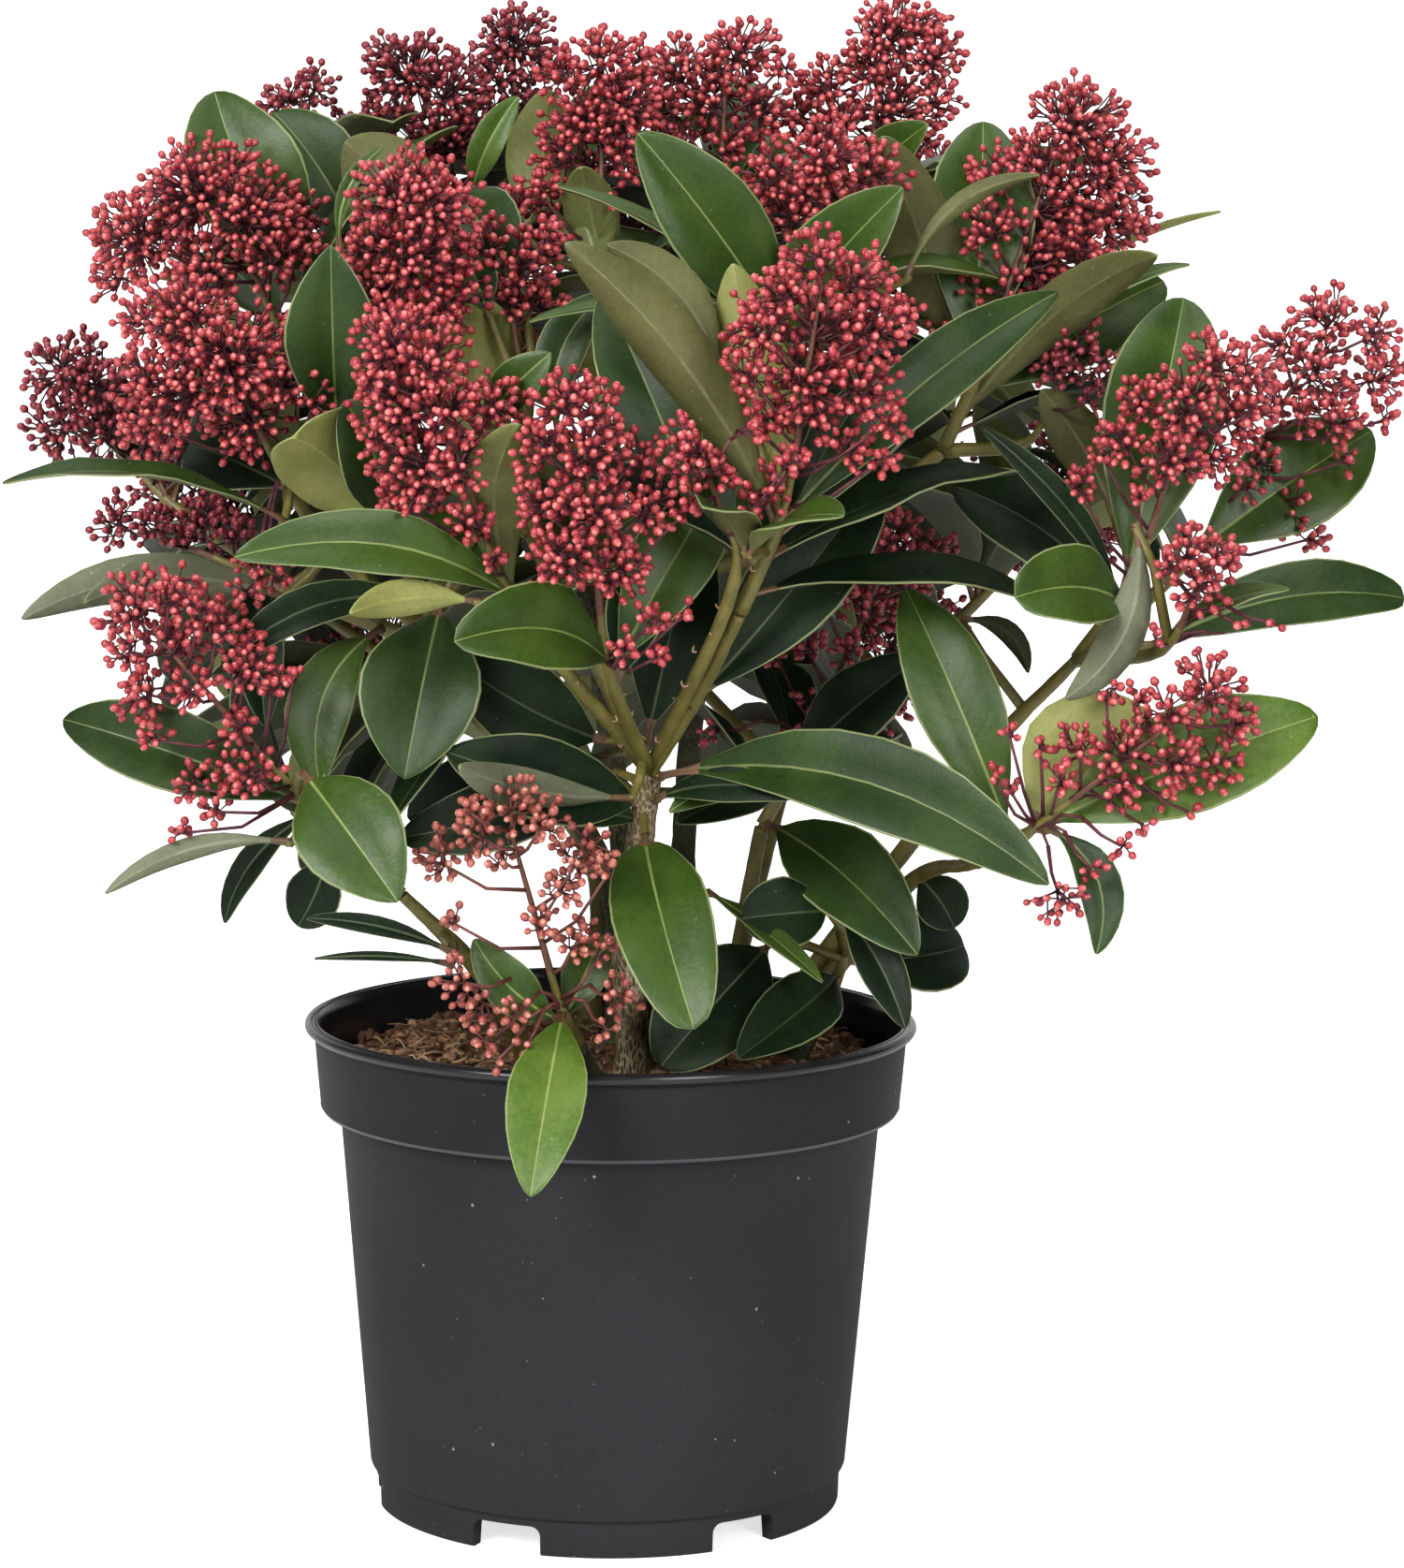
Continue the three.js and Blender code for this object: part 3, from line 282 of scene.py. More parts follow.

# The bunches of each flower head whose bunches are listed, as the camera sees them: the head's depth, Y,
# and each bunch's x, y and half width in the frame's units. One that hangs has a negative half width.
HEAD_BUNCHES = {
    "upper_left": (-6, [(205, 212, 46), (262, 228, 40), (310, 235, 26), (140, 255, 40), (175, 240, 34),
        (215, 285, 38), (290, 275, 30), (120, 295, 24), (250, 180, 24), (320, 265, 18)]),
    "left": (-60, [(190, 345, 38), (245, 385, 42), (310, 400, 40), (190, 420, 40), (255, 445, 38),
        (155, 455, 28), (340, 425, 18), (215, 370, 30), (150, 405, 26), (150, 345, 22), (285, 605, -24),
        (268, 635, -16)]),
    "far_left": (48, [(60, 400, 28), (98, 415, 32), (60, 458, 30), (110, 465, 28), (140, 425, 26),
        (88, 385, 22), (165, 475, 24), (75, 430, 24)]),
    "low_left_back": (16, [(122, 560, 20), (160, 565, 18), (215, 560, 22), (250, 570, 20), (235, 520, 18),
        (190, 575, 14)]),
    "mid_left": (-64, [(420, 212, 36), (465, 222, 34), (395, 262, 28), (445, 275, 38), (400, 312, 28),
        (475, 320, 30), (430, 340, 30), (450, 195, 22), (490, 270, 20)]),
    "left_centre": (-104, [(412, 368, 34), (458, 388, 30), (420, 430, 40), (478, 440, 34), (525, 435, 26),
        (440, 500, 40), (492, 498, 28), (430, 545, 24), (498, 560, 18), (395, 400, 22), (525, 600, 11),
        (400, 470, 22)]),
    "mid": (-36, [(520, 268, 28), (560, 282, 26), (575, 322, 20), (540, 325, 24), (560, 362, 12),
        (595, 335, 14), (585, 255, 18)]),
    "top_left": (86, [(430, 78, 34), (480, 95, 32), (418, 125, 28), (478, 148, 32), (450, 170, 24),
        (512, 128, 24), (410, 60, 18)]),
    "top_left_back": (112, [(300, 108, 22), (332, 98, 20), (366, 142, 18), (395, 130, 15), (355, 175, 10),
        (285, 125, 14)]),
    "top_mid_back": (112, [(548, 45, 30), (528, 82, 26), (575, 68, 22), (525, 130, 22), (555, 110, 22),
        (540, 25, 14)]),
    "top_mid": (14, [(640, 68, 30), (602, 80, 22), (620, 128, 32), (668, 108, 30), (600, 165, 28),
        (660, 165, 26), (575, 205, 18), (558, 215, 20), (682, 62, 16), (645, 212, 14), (600, 235, 16),
        (650, 135, 26)]),
    "top_right_mid": (38, [(722, 78, 28), (790, 60, 30), (755, 108, 32), (712, 120, 22), (812, 118, 26),
        (780, 160, 26), (832, 75, 16), (765, 75, 22)]),
    "top_right": (54, [(955, 38, 32), (998, 65, 26), (928, 75, 30), (882, 92, 24), (888, 140, 32),
        (950, 120, 36), (1000, 105, 22), (850, 125, 22), (930, 30, 16), (985, 30, 22), (990, 150, 12)]),
    "mid_right": (-36, [(820, 190, 28), (880, 172, 34), (932, 190, 30), (790, 235, 26), (840, 232, 30),
        (890, 215, 30), (770, 256, 13), (790, 268, 18), (860, 205, 28)]),
    "front_right": (-120, [(870, 280, 30), (832, 312, 28), (918, 300, 28), (812, 352, 34), (875, 350, 40),
        (932, 352, 34), (798, 402, 26), (858, 408, 38), (918, 412, 34), (950, 450, 20), (905, 480, 20),
        (940, 495, 15), (825, 450, 22), (965, 335, 16), (785, 430, 14), (870, 445, 20)]),
    "front_right_low": (-128, [(742, 476, 28), (785, 462, 24), (728, 500, 18), (740, 528, 13),
        (820, 522, 20), (800, 552, 14), (840, 500, 14), (712, 420, 8), (765, 500, 20), (850, 490, 12)]),
    "front_centre": (-122, [(598, 432, 32), (638, 448, 30), (575, 482, 32), (630, 492, 34), (682, 490, 24),
        (572, 542, 28), (640, 545, 36), (690, 548, 30), (726, 553, 12), (602, 600, 36), (660, 610, 32),
        (570, 632, 18), (698, 662, 18), (732, 656, 11), (665, 692, 15), (702, 702, 12), (620, 425, 26),
        (605, 540, 26)]),
    "upper_right": (4, [(1150, 135, 34), (1112, 168, 26), (1180, 180, 34), (1068, 190, 22),
        (1120, 222, 34), (1190, 235, 30), (1058, 245, 24), (1110, 275, 34), (1068, 310, 28),
        (1160, 262, 26), (1018, 345, 18), (1000, 372, 14), (1215, 245, 14), (1150, 205, 30),
        (1090, 330, 18)]),
    "right_back": (-10, [(1150, 368, 22), (1172, 396, 18), (1125, 395, 16), (1165, 430, 10),
        (1145, 395, 16)]),
    "right": (-64, [(1300, 390, 28), (1340, 402, 22), (1222, 430, 24), (1268, 438, 32), (1320, 445, 28),
        (1200, 470, 24), (1250, 490, 30), (1300, 488, 24), (1178, 490, 14), (1216, 530, 9),
        (1150, 520, 18), (1340, 440, 20), (1135, 535, 9)]),
    "far_right": (12, [(1420, 345, 26), (1470, 360, 22), (1370, 370, 22), (1410, 400, 30), (1470, 408, 24),
        (1360, 430, 20), (1430, 450, 24), (1482, 450, 12), (1350, 492, 18), (1330, 522, 16),
        (1382, 540, 22), (1402, 578, 15), (1360, 560, 16), (1440, 492, 11), (1395, 445, 18)]),
    "right_low": (-100, [(1268, 590, 22), (1302, 602, 22), (1280, 630, 24), (1230, 682, 10),
        (1250, 605, 14), (1325, 665, -7), (1365, 665, -7), (1368, 700, -7), (1328, 698, -5)]),
    "low_right": (-114, [(1290, 740, 30), (1250, 762, 24), (1320, 775, 20), (1182, 742, 16),
        (1212, 748, 14), (1200, 810, 28), (1260, 818, 28), (1300, 820, 24), (1152, 800, 22),
        (1130, 838, 16), (1112, 800, 9), (1200, 852, 18), (1250, 850, 16), (1222, 882, -12),
        (1198, 905, -12), (1272, 868, -8), (1130, 960, -27), (1168, 932, -14), (1078, 785, 9),
        (1062, 835, 9), (1082, 848, 8), (1225, 775, 16)]),
    "low_left": (-90, [(140, 652, 32), (182, 640, 24), (232, 670, 26), (130, 698, 22), (180, 690, 28),
        (152, 745, 26), (202, 738, 20), (262, 720, 26), (292, 735, 16), (312, 728, 11), (160, 790, 13),
        (252, 780, 16), (240, 822, 22), (200, 842, 16), (272, 830, 20), (225, 868, 15), (192, 892, 11),
        (210, 655, 20), (262, 690, 16)]),
    "low_front": (-106, [(545, 860, 26), (578, 882, 18), (508, 895, 20), (468, 922, 22), (532, 918, 15),
        (622, 918, 24), (655, 930, 12), (600, 955, 17), (580, 988, 14), (480, 985, 11), (618, 1008, 18),
        (490, 1050, -23), (512, 1075, -20), (520, 1110, -15), (552, 1080, -15), (660, 1065, -20),
        (648, 1100, -13), (500, 868, 10), (642, 1018, 13), (530, 1135, -9), (566, 1115, -11)]),
    "inner_right": (2, [(958, 580, 28), (1000, 602, 22), (920, 610, 24), (880, 640, 26), (930, 658, 24),
        (860, 690, 18), (905, 702, 15), (830, 700, 11), (860, 748, -12), (902, 768, -16), (942, 758, -20),
        (850, 780, -9), (762, 780, -16), (975, 625, 18)]),
}
# mm, how a head's bunches stand before and behind its depth, in turn
BUNCH_DEPTHS = (0, -4.0, 3.2, -2.4, 4.8, 1.6, -4.8, 2.4)
# Heads whose bunches are fuller or finer than that, each step to a tenth of a millimetre
HEAD_GROWTH = {
    "front_centre": (0.84,), "upper_right": (1.14,), "left": (1.06,), "upper_left": (1.05, 0.92),
    "low_right": (0.95,), "low_left": (0.96,), "mid_left": (1.05,), "right": (0.97,),
    "front_right": (0.96,)}

# Leaves, by their place in the shoot's list, that no bud hangs in front of
CLEAR_LEAVES = {
    "front_centre": (0, 2, 7), "front_right": (0,), "left_centre": (1,), "mid_left": (4, 5), "left": (0,),
    "low_left": (0, 2), "low_front": (1,), "mid_right": (0,), "right": (1,), "right_low": (1,)}

# Which way a known leaf's dark upper side looks.
UPPER_SIDE = {
    "front": Vector((0, -1, 0.35)),
    "back": Vector((0, 1, 0.1)),
    "up": Vector((0, -0.35, 1)),
    "left": Vector((-1, -0.1, 0.2)),
}

# ---- Colours, as linear red, green and blue ----
# The darkest tone, with its rib and underside, is painted shade: leaves inside and at the back of the crown
# are coloured nearly black for the shade they stand in.
LEAF_TONES = {
    "deep": ((0.0035, 0.010, 0.0035), (0.010, 0.024, 0.007)),
    # The grey tone is for leaves turned away: its upper side is a plain dark green, and its pale grey rib and
    # greyish underside are partly painted sheen.
    "grey": ((0.012, 0.032, 0.004), (0.026, 0.054, 0.009)),
    "dark": ((0.011, 0.029, 0.004), (0.024, 0.050, 0.008)),
    "mid": ((0.022, 0.051, 0.0035), (0.042, 0.080, 0.010)),
    "fresh": ((0.052, 0.108, 0.009), (0.105, 0.170, 0.026)),
}
RIB_TONES = {
    "deep": ((0.026, 0.042, 0.012), (0.045, 0.066, 0.020)),
    "grey": ((0.120, 0.140, 0.078), (0.170, 0.185, 0.115)),
    "dark": ((0.085, 0.120, 0.026), (0.130, 0.170, 0.045)),
    "mid": ((0.130, 0.175, 0.036), (0.190, 0.240, 0.060)),
    "fresh": ((0.180, 0.235, 0.050), (0.235, 0.290, 0.080)),
}
POT_BLACK = (0.0235, 0.0230, 0.0260)
UNDERSIDES = {
    "deep": ((0.030, 0.036, 0.016), (0.050, 0.058, 0.026)),
    # The grey underside is olive greyed by a painted sheen, the grey reflection seen on those leaves.
    "grey": ((0.105, 0.118, 0.066), (0.152, 0.164, 0.102)),
    "dark": ((0.072, 0.074, 0.022), (0.108, 0.110, 0.036)),
    "mid": ((0.105, 0.118, 0.032), (0.155, 0.168, 0.052)),
    "fresh": ((0.175, 0.190, 0.046), (0.250, 0.264, 0.078)),
}
# Bud, bud's top and stalk. The paler top is partly the bud's own tip and partly a painted highlight, and the
# bud colour below it is partly painted shade.
BUD_TONES = {
    "coral": ((0.360, 0.024, 0.036), (0.720, 0.190, 0.180), (0.058, 0.010, 0.014)),
    "scarlet": ((0.370, 0.024, 0.036), (0.710, 0.185, 0.175), (0.058, 0.010, 0.014)),
    "rose": ((0.360, 0.024, 0.036), (0.730, 0.195, 0.180), (0.052, 0.009, 0.014)),
    "crimson": ((0.215, 0.016, 0.028), (0.430, 0.090, 0.095), (0.036, 0.007, 0.010)),
    "garnet": ((0.290, 0.022, 0.034), (0.520, 0.120, 0.120), (0.044, 0.008, 0.012)),
    "salmon": ((0.350, 0.066, 0.052), (0.640, 0.285, 0.205), (0.090, 0.026, 0.020)),
    "plum": ((0.270, 0.021, 0.034), (0.490, 0.112, 0.115), (0.042, 0.008, 0.012)),
}


# ======== Shader node groups ========
def start_group(name, inputs, outputs):
    """A new shader node group with the named sockets. Returns it with its input and output nodes."""
    group = bpy.data.node_groups.new(name, "ShaderNodeTree")
    for socket, kind, value in inputs:
        made = group.interface.new_socket(socket, in_out="INPUT", socket_type=kind)
        made.default_value = value
    for socket, kind in outputs:
        group.interface.new_socket(socket, in_out="OUTPUT", socket_type=kind)
    return group, group.nodes.new("NodeGroupInput"), group.nodes.new("NodeGroupOutput")


COLOUR = "NodeSocketColor"
NUMBER = "NodeSocketFloat"
GREY = (0.5, 0.5, 0.5, 1)


def add_node(tree, kind, **settings):
    node = tree.nodes.new(kind)
    for key, value in settings.items():
        setattr(node, key, value)
    return node


def feed(tree, node, inputs):
    """Gives each input, by name or number, its value or the socket that it is linked to."""
    for key, value in inputs.items():
        if isinstance(value, bpy.types.NodeSocket):
            tree.links.new(value, node.inputs[key])
        else:
            node.inputs[key].default_value = value
    return node


def object_place(tree, stretch=(1, 1, 1)):
    """The socket that gives the place in the object's own space."""
    place = add_node(tree, "ShaderNodeTexCoord")
    mapping = add_node(tree, "ShaderNodeMapping")
    return feed(tree, mapping, {"Scale": stretch, "Vector": place.outputs["Object"]}).outputs["Vector"]


def remap(tree, value, low, high):
    """value's stretch from low to high as 0 to 1, smoothly."""
    node = add_node(tree, "ShaderNodeMapRange", interpolation_type="SMOOTHSTEP")
    return feed(tree, node, {"From Min": low, "From Max": high, "Value": value}).outputs["Result"]


def mix_colours(tree, share, first, second):
    node = add_node(tree, "ShaderNodeMix", data_type="RGBA")
    return feed(tree, node, {0: share, 6: first, 7: second}).outputs[2]


def maths(tree, operation, *values):
    """The socket that gives the operation on these sockets and numbers."""
    node = add_node(tree, "ShaderNodeMath", operation=operation)
    return feed(tree, node, dict(enumerate(values))).outputs[0]


def add_noise(tree, **inputs):
    return feed(tree, add_node(tree, "ShaderNodeTexNoise"), inputs).outputs


def patches_group():
    """Two colours in soft patches with a fine grain over them."""
    group, given, made = start_group(
        "patches",
        [("Colour", COLOUR, GREY), ("Other", COLOUR, GREY), ("Scale", NUMBER, 50), ("Grain", NUMBER, 600)],
        [("Colour", COLOUR), ("Mask", NUMBER)])
    place = object_place(group)
    broad = add_noise(group, Vector=place, Scale=given.outputs["Scale"], Detail=3)
    fine = add_noise(group, Vector=place, Scale=given.outputs["Grain"], Detail=2)
    both = maths(group, "MULTIPLY_ADD", fine["Fac"], 0.45, broad["Fac"])
    mask = remap(group, both, 0.52, 0.95)
    colour = mix_colours(group, mask, given.outputs["Colour"], given.outputs["Other"])
    feed(group, made, {"Colour": colour, "Mask": mask})
    return group


def relief_group():
    """A leathery or grainy height."""
    group, given, made = start_group("relief", [("Scale", NUMBER, 900)], [("Height", NUMBER)])
    place = object_place(group)
    noise = add_noise(group, Vector=place, Scale=given.outputs["Scale"], Detail=4, Roughness=0.6)
    feed(group, made, {"Height": noise["Fac"]})
    return group


def specks_group():
    """Small scattered dots, each on a random one of many cells."""
    group, given, made = start_group(
        "specks", [("Scale", NUMBER, 400), ("Share", NUMBER, 0.05), ("Size", NUMBER, 0.25)],
        [("Mask", NUMBER)])
    place = object_place(group)
    cells = add_node(group, "ShaderNodeTexVoronoi", feature="F1")
    feed(group, cells, {"Vector": place, "Scale": given.outputs["Scale"]})
    split = feed(group, add_node(group, "ShaderNodeSeparateColor"), {"Color": cells.outputs["Color"]})
    chosen = maths(group, "LESS_THAN", split.outputs["Red"], given.outputs["Share"])
    near = maths(group, "LESS_THAN", cells.outputs["Distance"], given.outputs["Size"])
    feed(group, made, {"Mask": maths(group, "MULTIPLY", chosen, near)})
    return group


def cracks_group():
    """Cracks drawn out along the stem."""
    group, given, made = start_group(
        "cracks", [("Scale", NUMBER, 500), ("Width", NUMBER, 0.12)], [("Mask", NUMBER), ("Height", NUMBER)])
    place = object_place(group, (1, 1, 0.22))
    wander = add_noise(group, Vector=place, Scale=300)
    moved = add_node(group, "ShaderNodeVectorMath", operation="MULTIPLY_ADD")
    feed(group, moved, {0: wander["Color"], 1: (2 * MM, 2 * MM, 2 * MM), 2: place})
    cells = add_node(group, "ShaderNodeTexVoronoi", feature="DISTANCE_TO_EDGE")
    feed(group, cells, {"Vector": moved.outputs[0], "Scale": given.outputs["Scale"]})
    inside = maths(group, "LESS_THAN", cells.outputs["Distance"], given.outputs["Width"])
    feed(group, made, {"Mask": inside, "Height": remap(group, cells.outputs["Distance"], 0, 0.35)})
    return group


def veins_group():
    """The faint side veins of a leaf, from the leaf's own map: across and along."""
    group, given, made = start_group("veins", [("Count", NUMBER, 11)], [("Height", NUMBER)])
    own_map = add_node(group, "ShaderNodeTexCoord")
    split = feed(group, add_node(group, "ShaderNodeSeparateXYZ"), {0: own_map.outputs["UV"]})
    away = maths(group, "ABSOLUTE", maths(group, "SUBTRACT", split.outputs["X"], 0.5))
    along = maths(group, "MULTIPLY_ADD", away, -0.32, split.outputs["Y"])
    pulse = maths(group, "PINGPONG", maths(group, "MULTIPLY", along, given.outputs["Count"]), 0.5)
    feed(group, made, {"Height": remap(group, pulse, 0, 0.3)})
    return group


PATCHES = patches_group()
RELIEF = relief_group()
SPECKS = specks_group()
CRACKS = cracks_group()
VEINS = veins_group()


# ======== Materials ========
def start_material(name, roughness, specular=0.5):
    """A new material with a Principled shader. Returns the material, its tree and the shader."""
    material = bpy.data.materials.new(name)
    material.use_nodes = True
    tree = material.node_tree
    shader = tree.nodes["Principled BSDF"]
    feed(tree, shader, {"Roughness": roughness, "Specular IOR Level": specular})
    return material, tree, shader


def opaque(colour):
    return (*colour, 1)


def place_group(tree, group, **values):
    return feed(tree, add_node(tree, "ShaderNodeGroup", node_tree=group), values)


def bump_from(tree, shader, height, strength, depth):
    """Bump of that depth in millimetres."""
    bump = add_node(tree, "ShaderNodeBump")
    feed(tree, bump, {"Strength": strength, "Distance": depth * MM, "Height": height})
    feed(tree, shader, {"Normal": bump.outputs["Normal"]})
    return bump


def add_specks(tree, colour, speck_colour, **values):
    """colour with specks of speck_colour over it."""
    specks = place_group(tree, SPECKS, **values)
    return mix_colours(tree, specks.outputs["Mask"], colour, opaque(speck_colour))


def patchy_material(name, colours, roughness, scale, grain, relief, depth, specular=0.5):
    """Two-toned and finely grained: most of the plant's surfaces."""
    material, tree, shader = start_material(name, roughness, specular)
    patches = place_group(
        tree, PATCHES, Colour=opaque(colours[0]), Other=opaque(colours[1]), Scale=scale, Grain=grain)
    tree.links.new(patches.outputs["Colour"], shader.inputs["Base Color"])
    height = place_group(tree, RELIEF, Scale=relief)
    bump_from(tree, shader, height.outputs["Height"], 0.5, depth)
    return material


def leaf_material(name, colours, roughness, specular, vein_depth):
    """A leathery leaf face: patches, tiny pale flecks, side veins and a fine pebbled relief."""
    material, tree, shader = start_material(name, roughness, specular)
    patches = place_group(
        tree, PATCHES, Colour=opaque(colours[0]), Other=opaque(colours[1]), Scale=45, Grain=700)
    fleck = tuple(1.4 * c + 0.04 for c in colours[1])
    flecked = add_specks(tree, patches.outputs["Colour"], fleck, Scale=420, Share=0.03, Size=0.14)
    tree.links.new(flecked, shader.inputs["Base Color"])
    veins = place_group(tree, VEINS)
    first = bump_from(tree, shader, veins.outputs["Height"], 0.35, vein_depth)
    pebble = place_group(tree, RELIEF, Scale=950)
    second = bump_from(tree, shader, pebble.outputs["Height"], 0.6, 0.18)
    tree.links.new(first.outputs["Normal"], second.inputs["Normal"])
    return material


def pot_material(name, shade, roughness, specular, grain_depth, dusty):
    material, tree, shader = start_material(name, roughness, specular)
    patches = place_group(
        tree, PATCHES, Colour=opaque([shade * c for c in POT_BLACK]),
        Other=opaque([1.3 * shade * c for c in POT_BLACK]), Scale=9, Grain=900)
    colour = patches.outputs["Colour"]
    if dusty:
        colour = add_specks(tree, colour, (0.22, 0.21, 0.20), Scale=330, Share=0.012, Size=0.16)
        colour = add_specks(tree, colour, (0.10, 0.095, 0.09), Scale=700, Share=0.012, Size=0.20)
    tree.links.new(colour, shader.inputs["Base Color"])
    grain = place_group(tree, RELIEF, Scale=1500)
    bump_from(tree, shader, grain.outputs["Height"], 0.6, grain_depth)
    return material


def bark_material(name, colours, crack_colour, crack_width):
    material, tree, shader = start_material(name, 0.75, 0.3)
    patches = place_group(
        tree, PATCHES, Colour=opaque(colours[0]), Other=opaque(colours[1]), Scale=160, Grain=1200)
    cracks = place_group(tree, CRACKS, Scale=850, Width=crack_width)
    where = place_group(tree, PATCHES, Scale=70, Grain=900)
    shown = maths(tree, "MULTIPLY", cracks.outputs["Mask"], where.outputs["Mask"])
    cracked = mix_colours(tree, shown, patches.outputs["Colour"], opaque(crack_colour))
    tree.links.new(cracked, shader.inputs["Base Color"])
    bump_from(tree, shader, cracks.outputs["Height"], 0.7, 0.4)
    return material


# ======== Meshes from arrays ========
class Batch:
    """Many small closed shapes of one kind, joined as one mesh."""

    def __init__(self, name, materials, slot):
        self.name = name
        self.materials = materials
        self.slot = slot
        self.nodes = set()
        self.count = 0
        self.points = []
        self.loops = []
        self.sizes = []
        self.kinds = []
        self.maps = []

    def add(self, points, loops, sizes, kinds, maps=None):
        """points is n x 3 in millimetres; the faces are loops of point numbers with these sizes."""
        self.points.append(points)
        self.loops.append(loops + self.count)
        self.sizes.append(sizes)
        self.kinds.append(kinds)
        self.maps.append(np.zeros((len(loops), 2)) if maps is None else maps)
        self.count += len(points)

    def add_copies(self, shape, matrices):
        """One shape at each of the n x 4 x 4 matrices."""
        points, loops, sizes, kinds = shape
        count = len(matrices)
        if not count:
            return
        full = np.c_[points, np.ones(len(points))]
        moved = np.einsum("nij,pj->npi", matrices, full)[:, :, :3].reshape(-1, 3)
        offsets = np.arange(count)[:, None] * len(points)
        self.add(moved, (loops[None] + offsets).ravel(), np.tile(sizes, count), np.tile(kinds, count))

    def add_stalks(self, routes, radii, sides):
        """Many tubes at once: routes is n x k x 3, each from its foot, with a radius for each step."""
        count, steps, _ = routes.shape
        ahead = np.gradient(routes, axis=1)
        ahead /= np.linalg.norm(ahead, axis=2, keepdims=True)
        helper = np.where(np.abs(ahead[:, :1, 2:3]) < 0.8, [[[0, 0, 1.0]]], [[[1.0, 0, 0]]])
        right = np.cross(np.broadcast_to(helper, ahead.shape), ahead)
        right /= np.linalg.norm(right, axis=2, keepdims=True)
        beside = np.cross(ahead, right)
        turns = (np.arange(sides) * math.tau / sides)[:, None]
        rings = right[:, :, None] * np.cos(turns) + beside[:, :, None] * np.sin(turns)
        points = routes[:, :, None] + rings * np.array(radii)[:, None, None]
        _, loops, sizes, kinds = rings_shape(list(points[0]), [[0] * sides] * (steps - 1))
        offsets = np.arange(count)[:, None] * (steps * sides)
        self.add(
            points.reshape(-1, 3), (loops[None] + offsets).ravel(),
            np.tile(sizes, count), np.tile(kinds, count))

    def build(self, smooth=True):
        points = np.concatenate(self.points) * MM
        loops = np.concatenate(self.loops)
        sizes = np.concatenate(self.sizes)
        mesh = bpy.data.meshes.new(self.name)
        mesh.vertices.add(len(points))
        mesh.vertices.foreach_set("co", points.ravel())
        mesh.loops.add(len(loops))
        mesh.loops.foreach_set("vertex_index", loops)
        mesh.polygons.add(len(sizes))
        mesh.polygons.foreach_set("loop_start", np.concatenate([[0], np.cumsum(sizes)[:-1]]))
        mesh.polygons.foreach_set("material_index", np.concatenate(self.kinds))
        mesh.update(calc_edges=True)
        own_map = mesh.uv_layers.new(name="own")
        own_map.data.foreach_set("uv", np.concatenate(self.maps).ravel())
        mesh.polygons.foreach_set("use_smooth", np.full(len(sizes), smooth))
        for material in self.materials:
            mesh.materials.append(material)
        piece = bpy.data.objects.new(self.name, mesh)
        bpy.context.scene.collection.objects.link(piece)
        finish_piece(piece, sorted(self.nodes))


def finish_piece(piece, nodes=()):
    """The piece rides with the plant and stands for these nodes, whose solids it hides."""
    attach(piece, "root")
    if nodes:
        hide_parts(*nodes)
    return piece


def rings_shape(rings, kinds):
    """A closed tube through the rings, each a k x 3 array, with kinds[segment][side]."""
    rows, sides = len(rings), len(rings[0])
    points = np.concatenate(rings)
    loops = []
    sizes = []
    slots = []
    for row in range(rows - 1):
        for side in range(sides):
            beside = (side + 1) % sides
            low = row * sides
            high = low + sides
            loops += [low + side, low + beside, high + beside, high + side]
            sizes.append(4)
            slots.append(kinds[row][side])
    loops += list(range(sides - 1, -1, -1))
    loops += list(range((rows - 1) * sides, rows * sides))
    sizes += [sides, sides]
    slots += [kinds[0][0], kinds[-1][0]]
    return points, np.array(loops), np.array(sizes), np.array(slots)


def tube_rings(points, radii, sides):
    """Rings round the route, turned with it."""
    rings = []
    along = (points[1] - points[0]).normalized()
    right = along.orthogonal().normalized()
    turns = [math.tau * i / sides for i in range(sides)]
    for i, (point, radius) in enumerate(zip(points, radii)):
        before = points[max(i - 1, 0)]
        after = points[min(i + 1, len(points) - 1)]
        tangent = (after - before).normalized()
        right = (right - tangent * right.dot(tangent)).normalized()
        ahead = tangent.cross(right)
        rings.append(np.array([
            point + right * (radius * math.cos(turn)) + ahead * (radius * math.sin(turn)) for turn in turns]))
    return rings


def add_tube(batch, points, radii, sides, kind=0):
    rings = tube_rings(points, radii, sides)
    batch.add(*rings_shape(rings, [[kind] * sides] * (len(rings) - 1)))


def facing(points, directions, widths, lengths):
    """Matrices that put shapes drawn along Z at the points, along the directions."""
    ahead = directions / np.linalg.norm(directions, axis=1, keepdims=True)
    helper = np.where(np.abs(ahead[:, 2:3]) < 0.9, [[0, 0, 1.0]], [[1.0, 0, 0]])
    right = np.cross(helper, ahead)
    right /= np.linalg.norm(right, axis=1, keepdims=True)
    matrices = np.zeros((len(points), 4, 4))
    matrices[:, :3, 0] = right * widths[:, None]
    matrices[:, :3, 1] = np.cross(ahead, right) * widths[:, None]
    matrices[:, :3, 2] = ahead * lengths[:, None]
    matrices[:, :3, 3] = points
    matrices[:, 3, 3] = 1
    return matrices


# ======== The growth rule ========
MASK = 0xFFFFFFFF


def seeded_random(seed):
    """Seeded numbers from 0 to 1, the same on every run."""
    state = seed

    def draw():
        nonlocal state
        state = (state + 0x6D2B79F5) & MASK
        t = ((state ^ (state >> 15)) * (1 | state)) & MASK
        t = ((t + (((t ^ (t >> 7)) * (61 | t)) & MASK)) & MASK) ^ t
        return (t ^ (t >> 14)) / 4294967296

    return draw


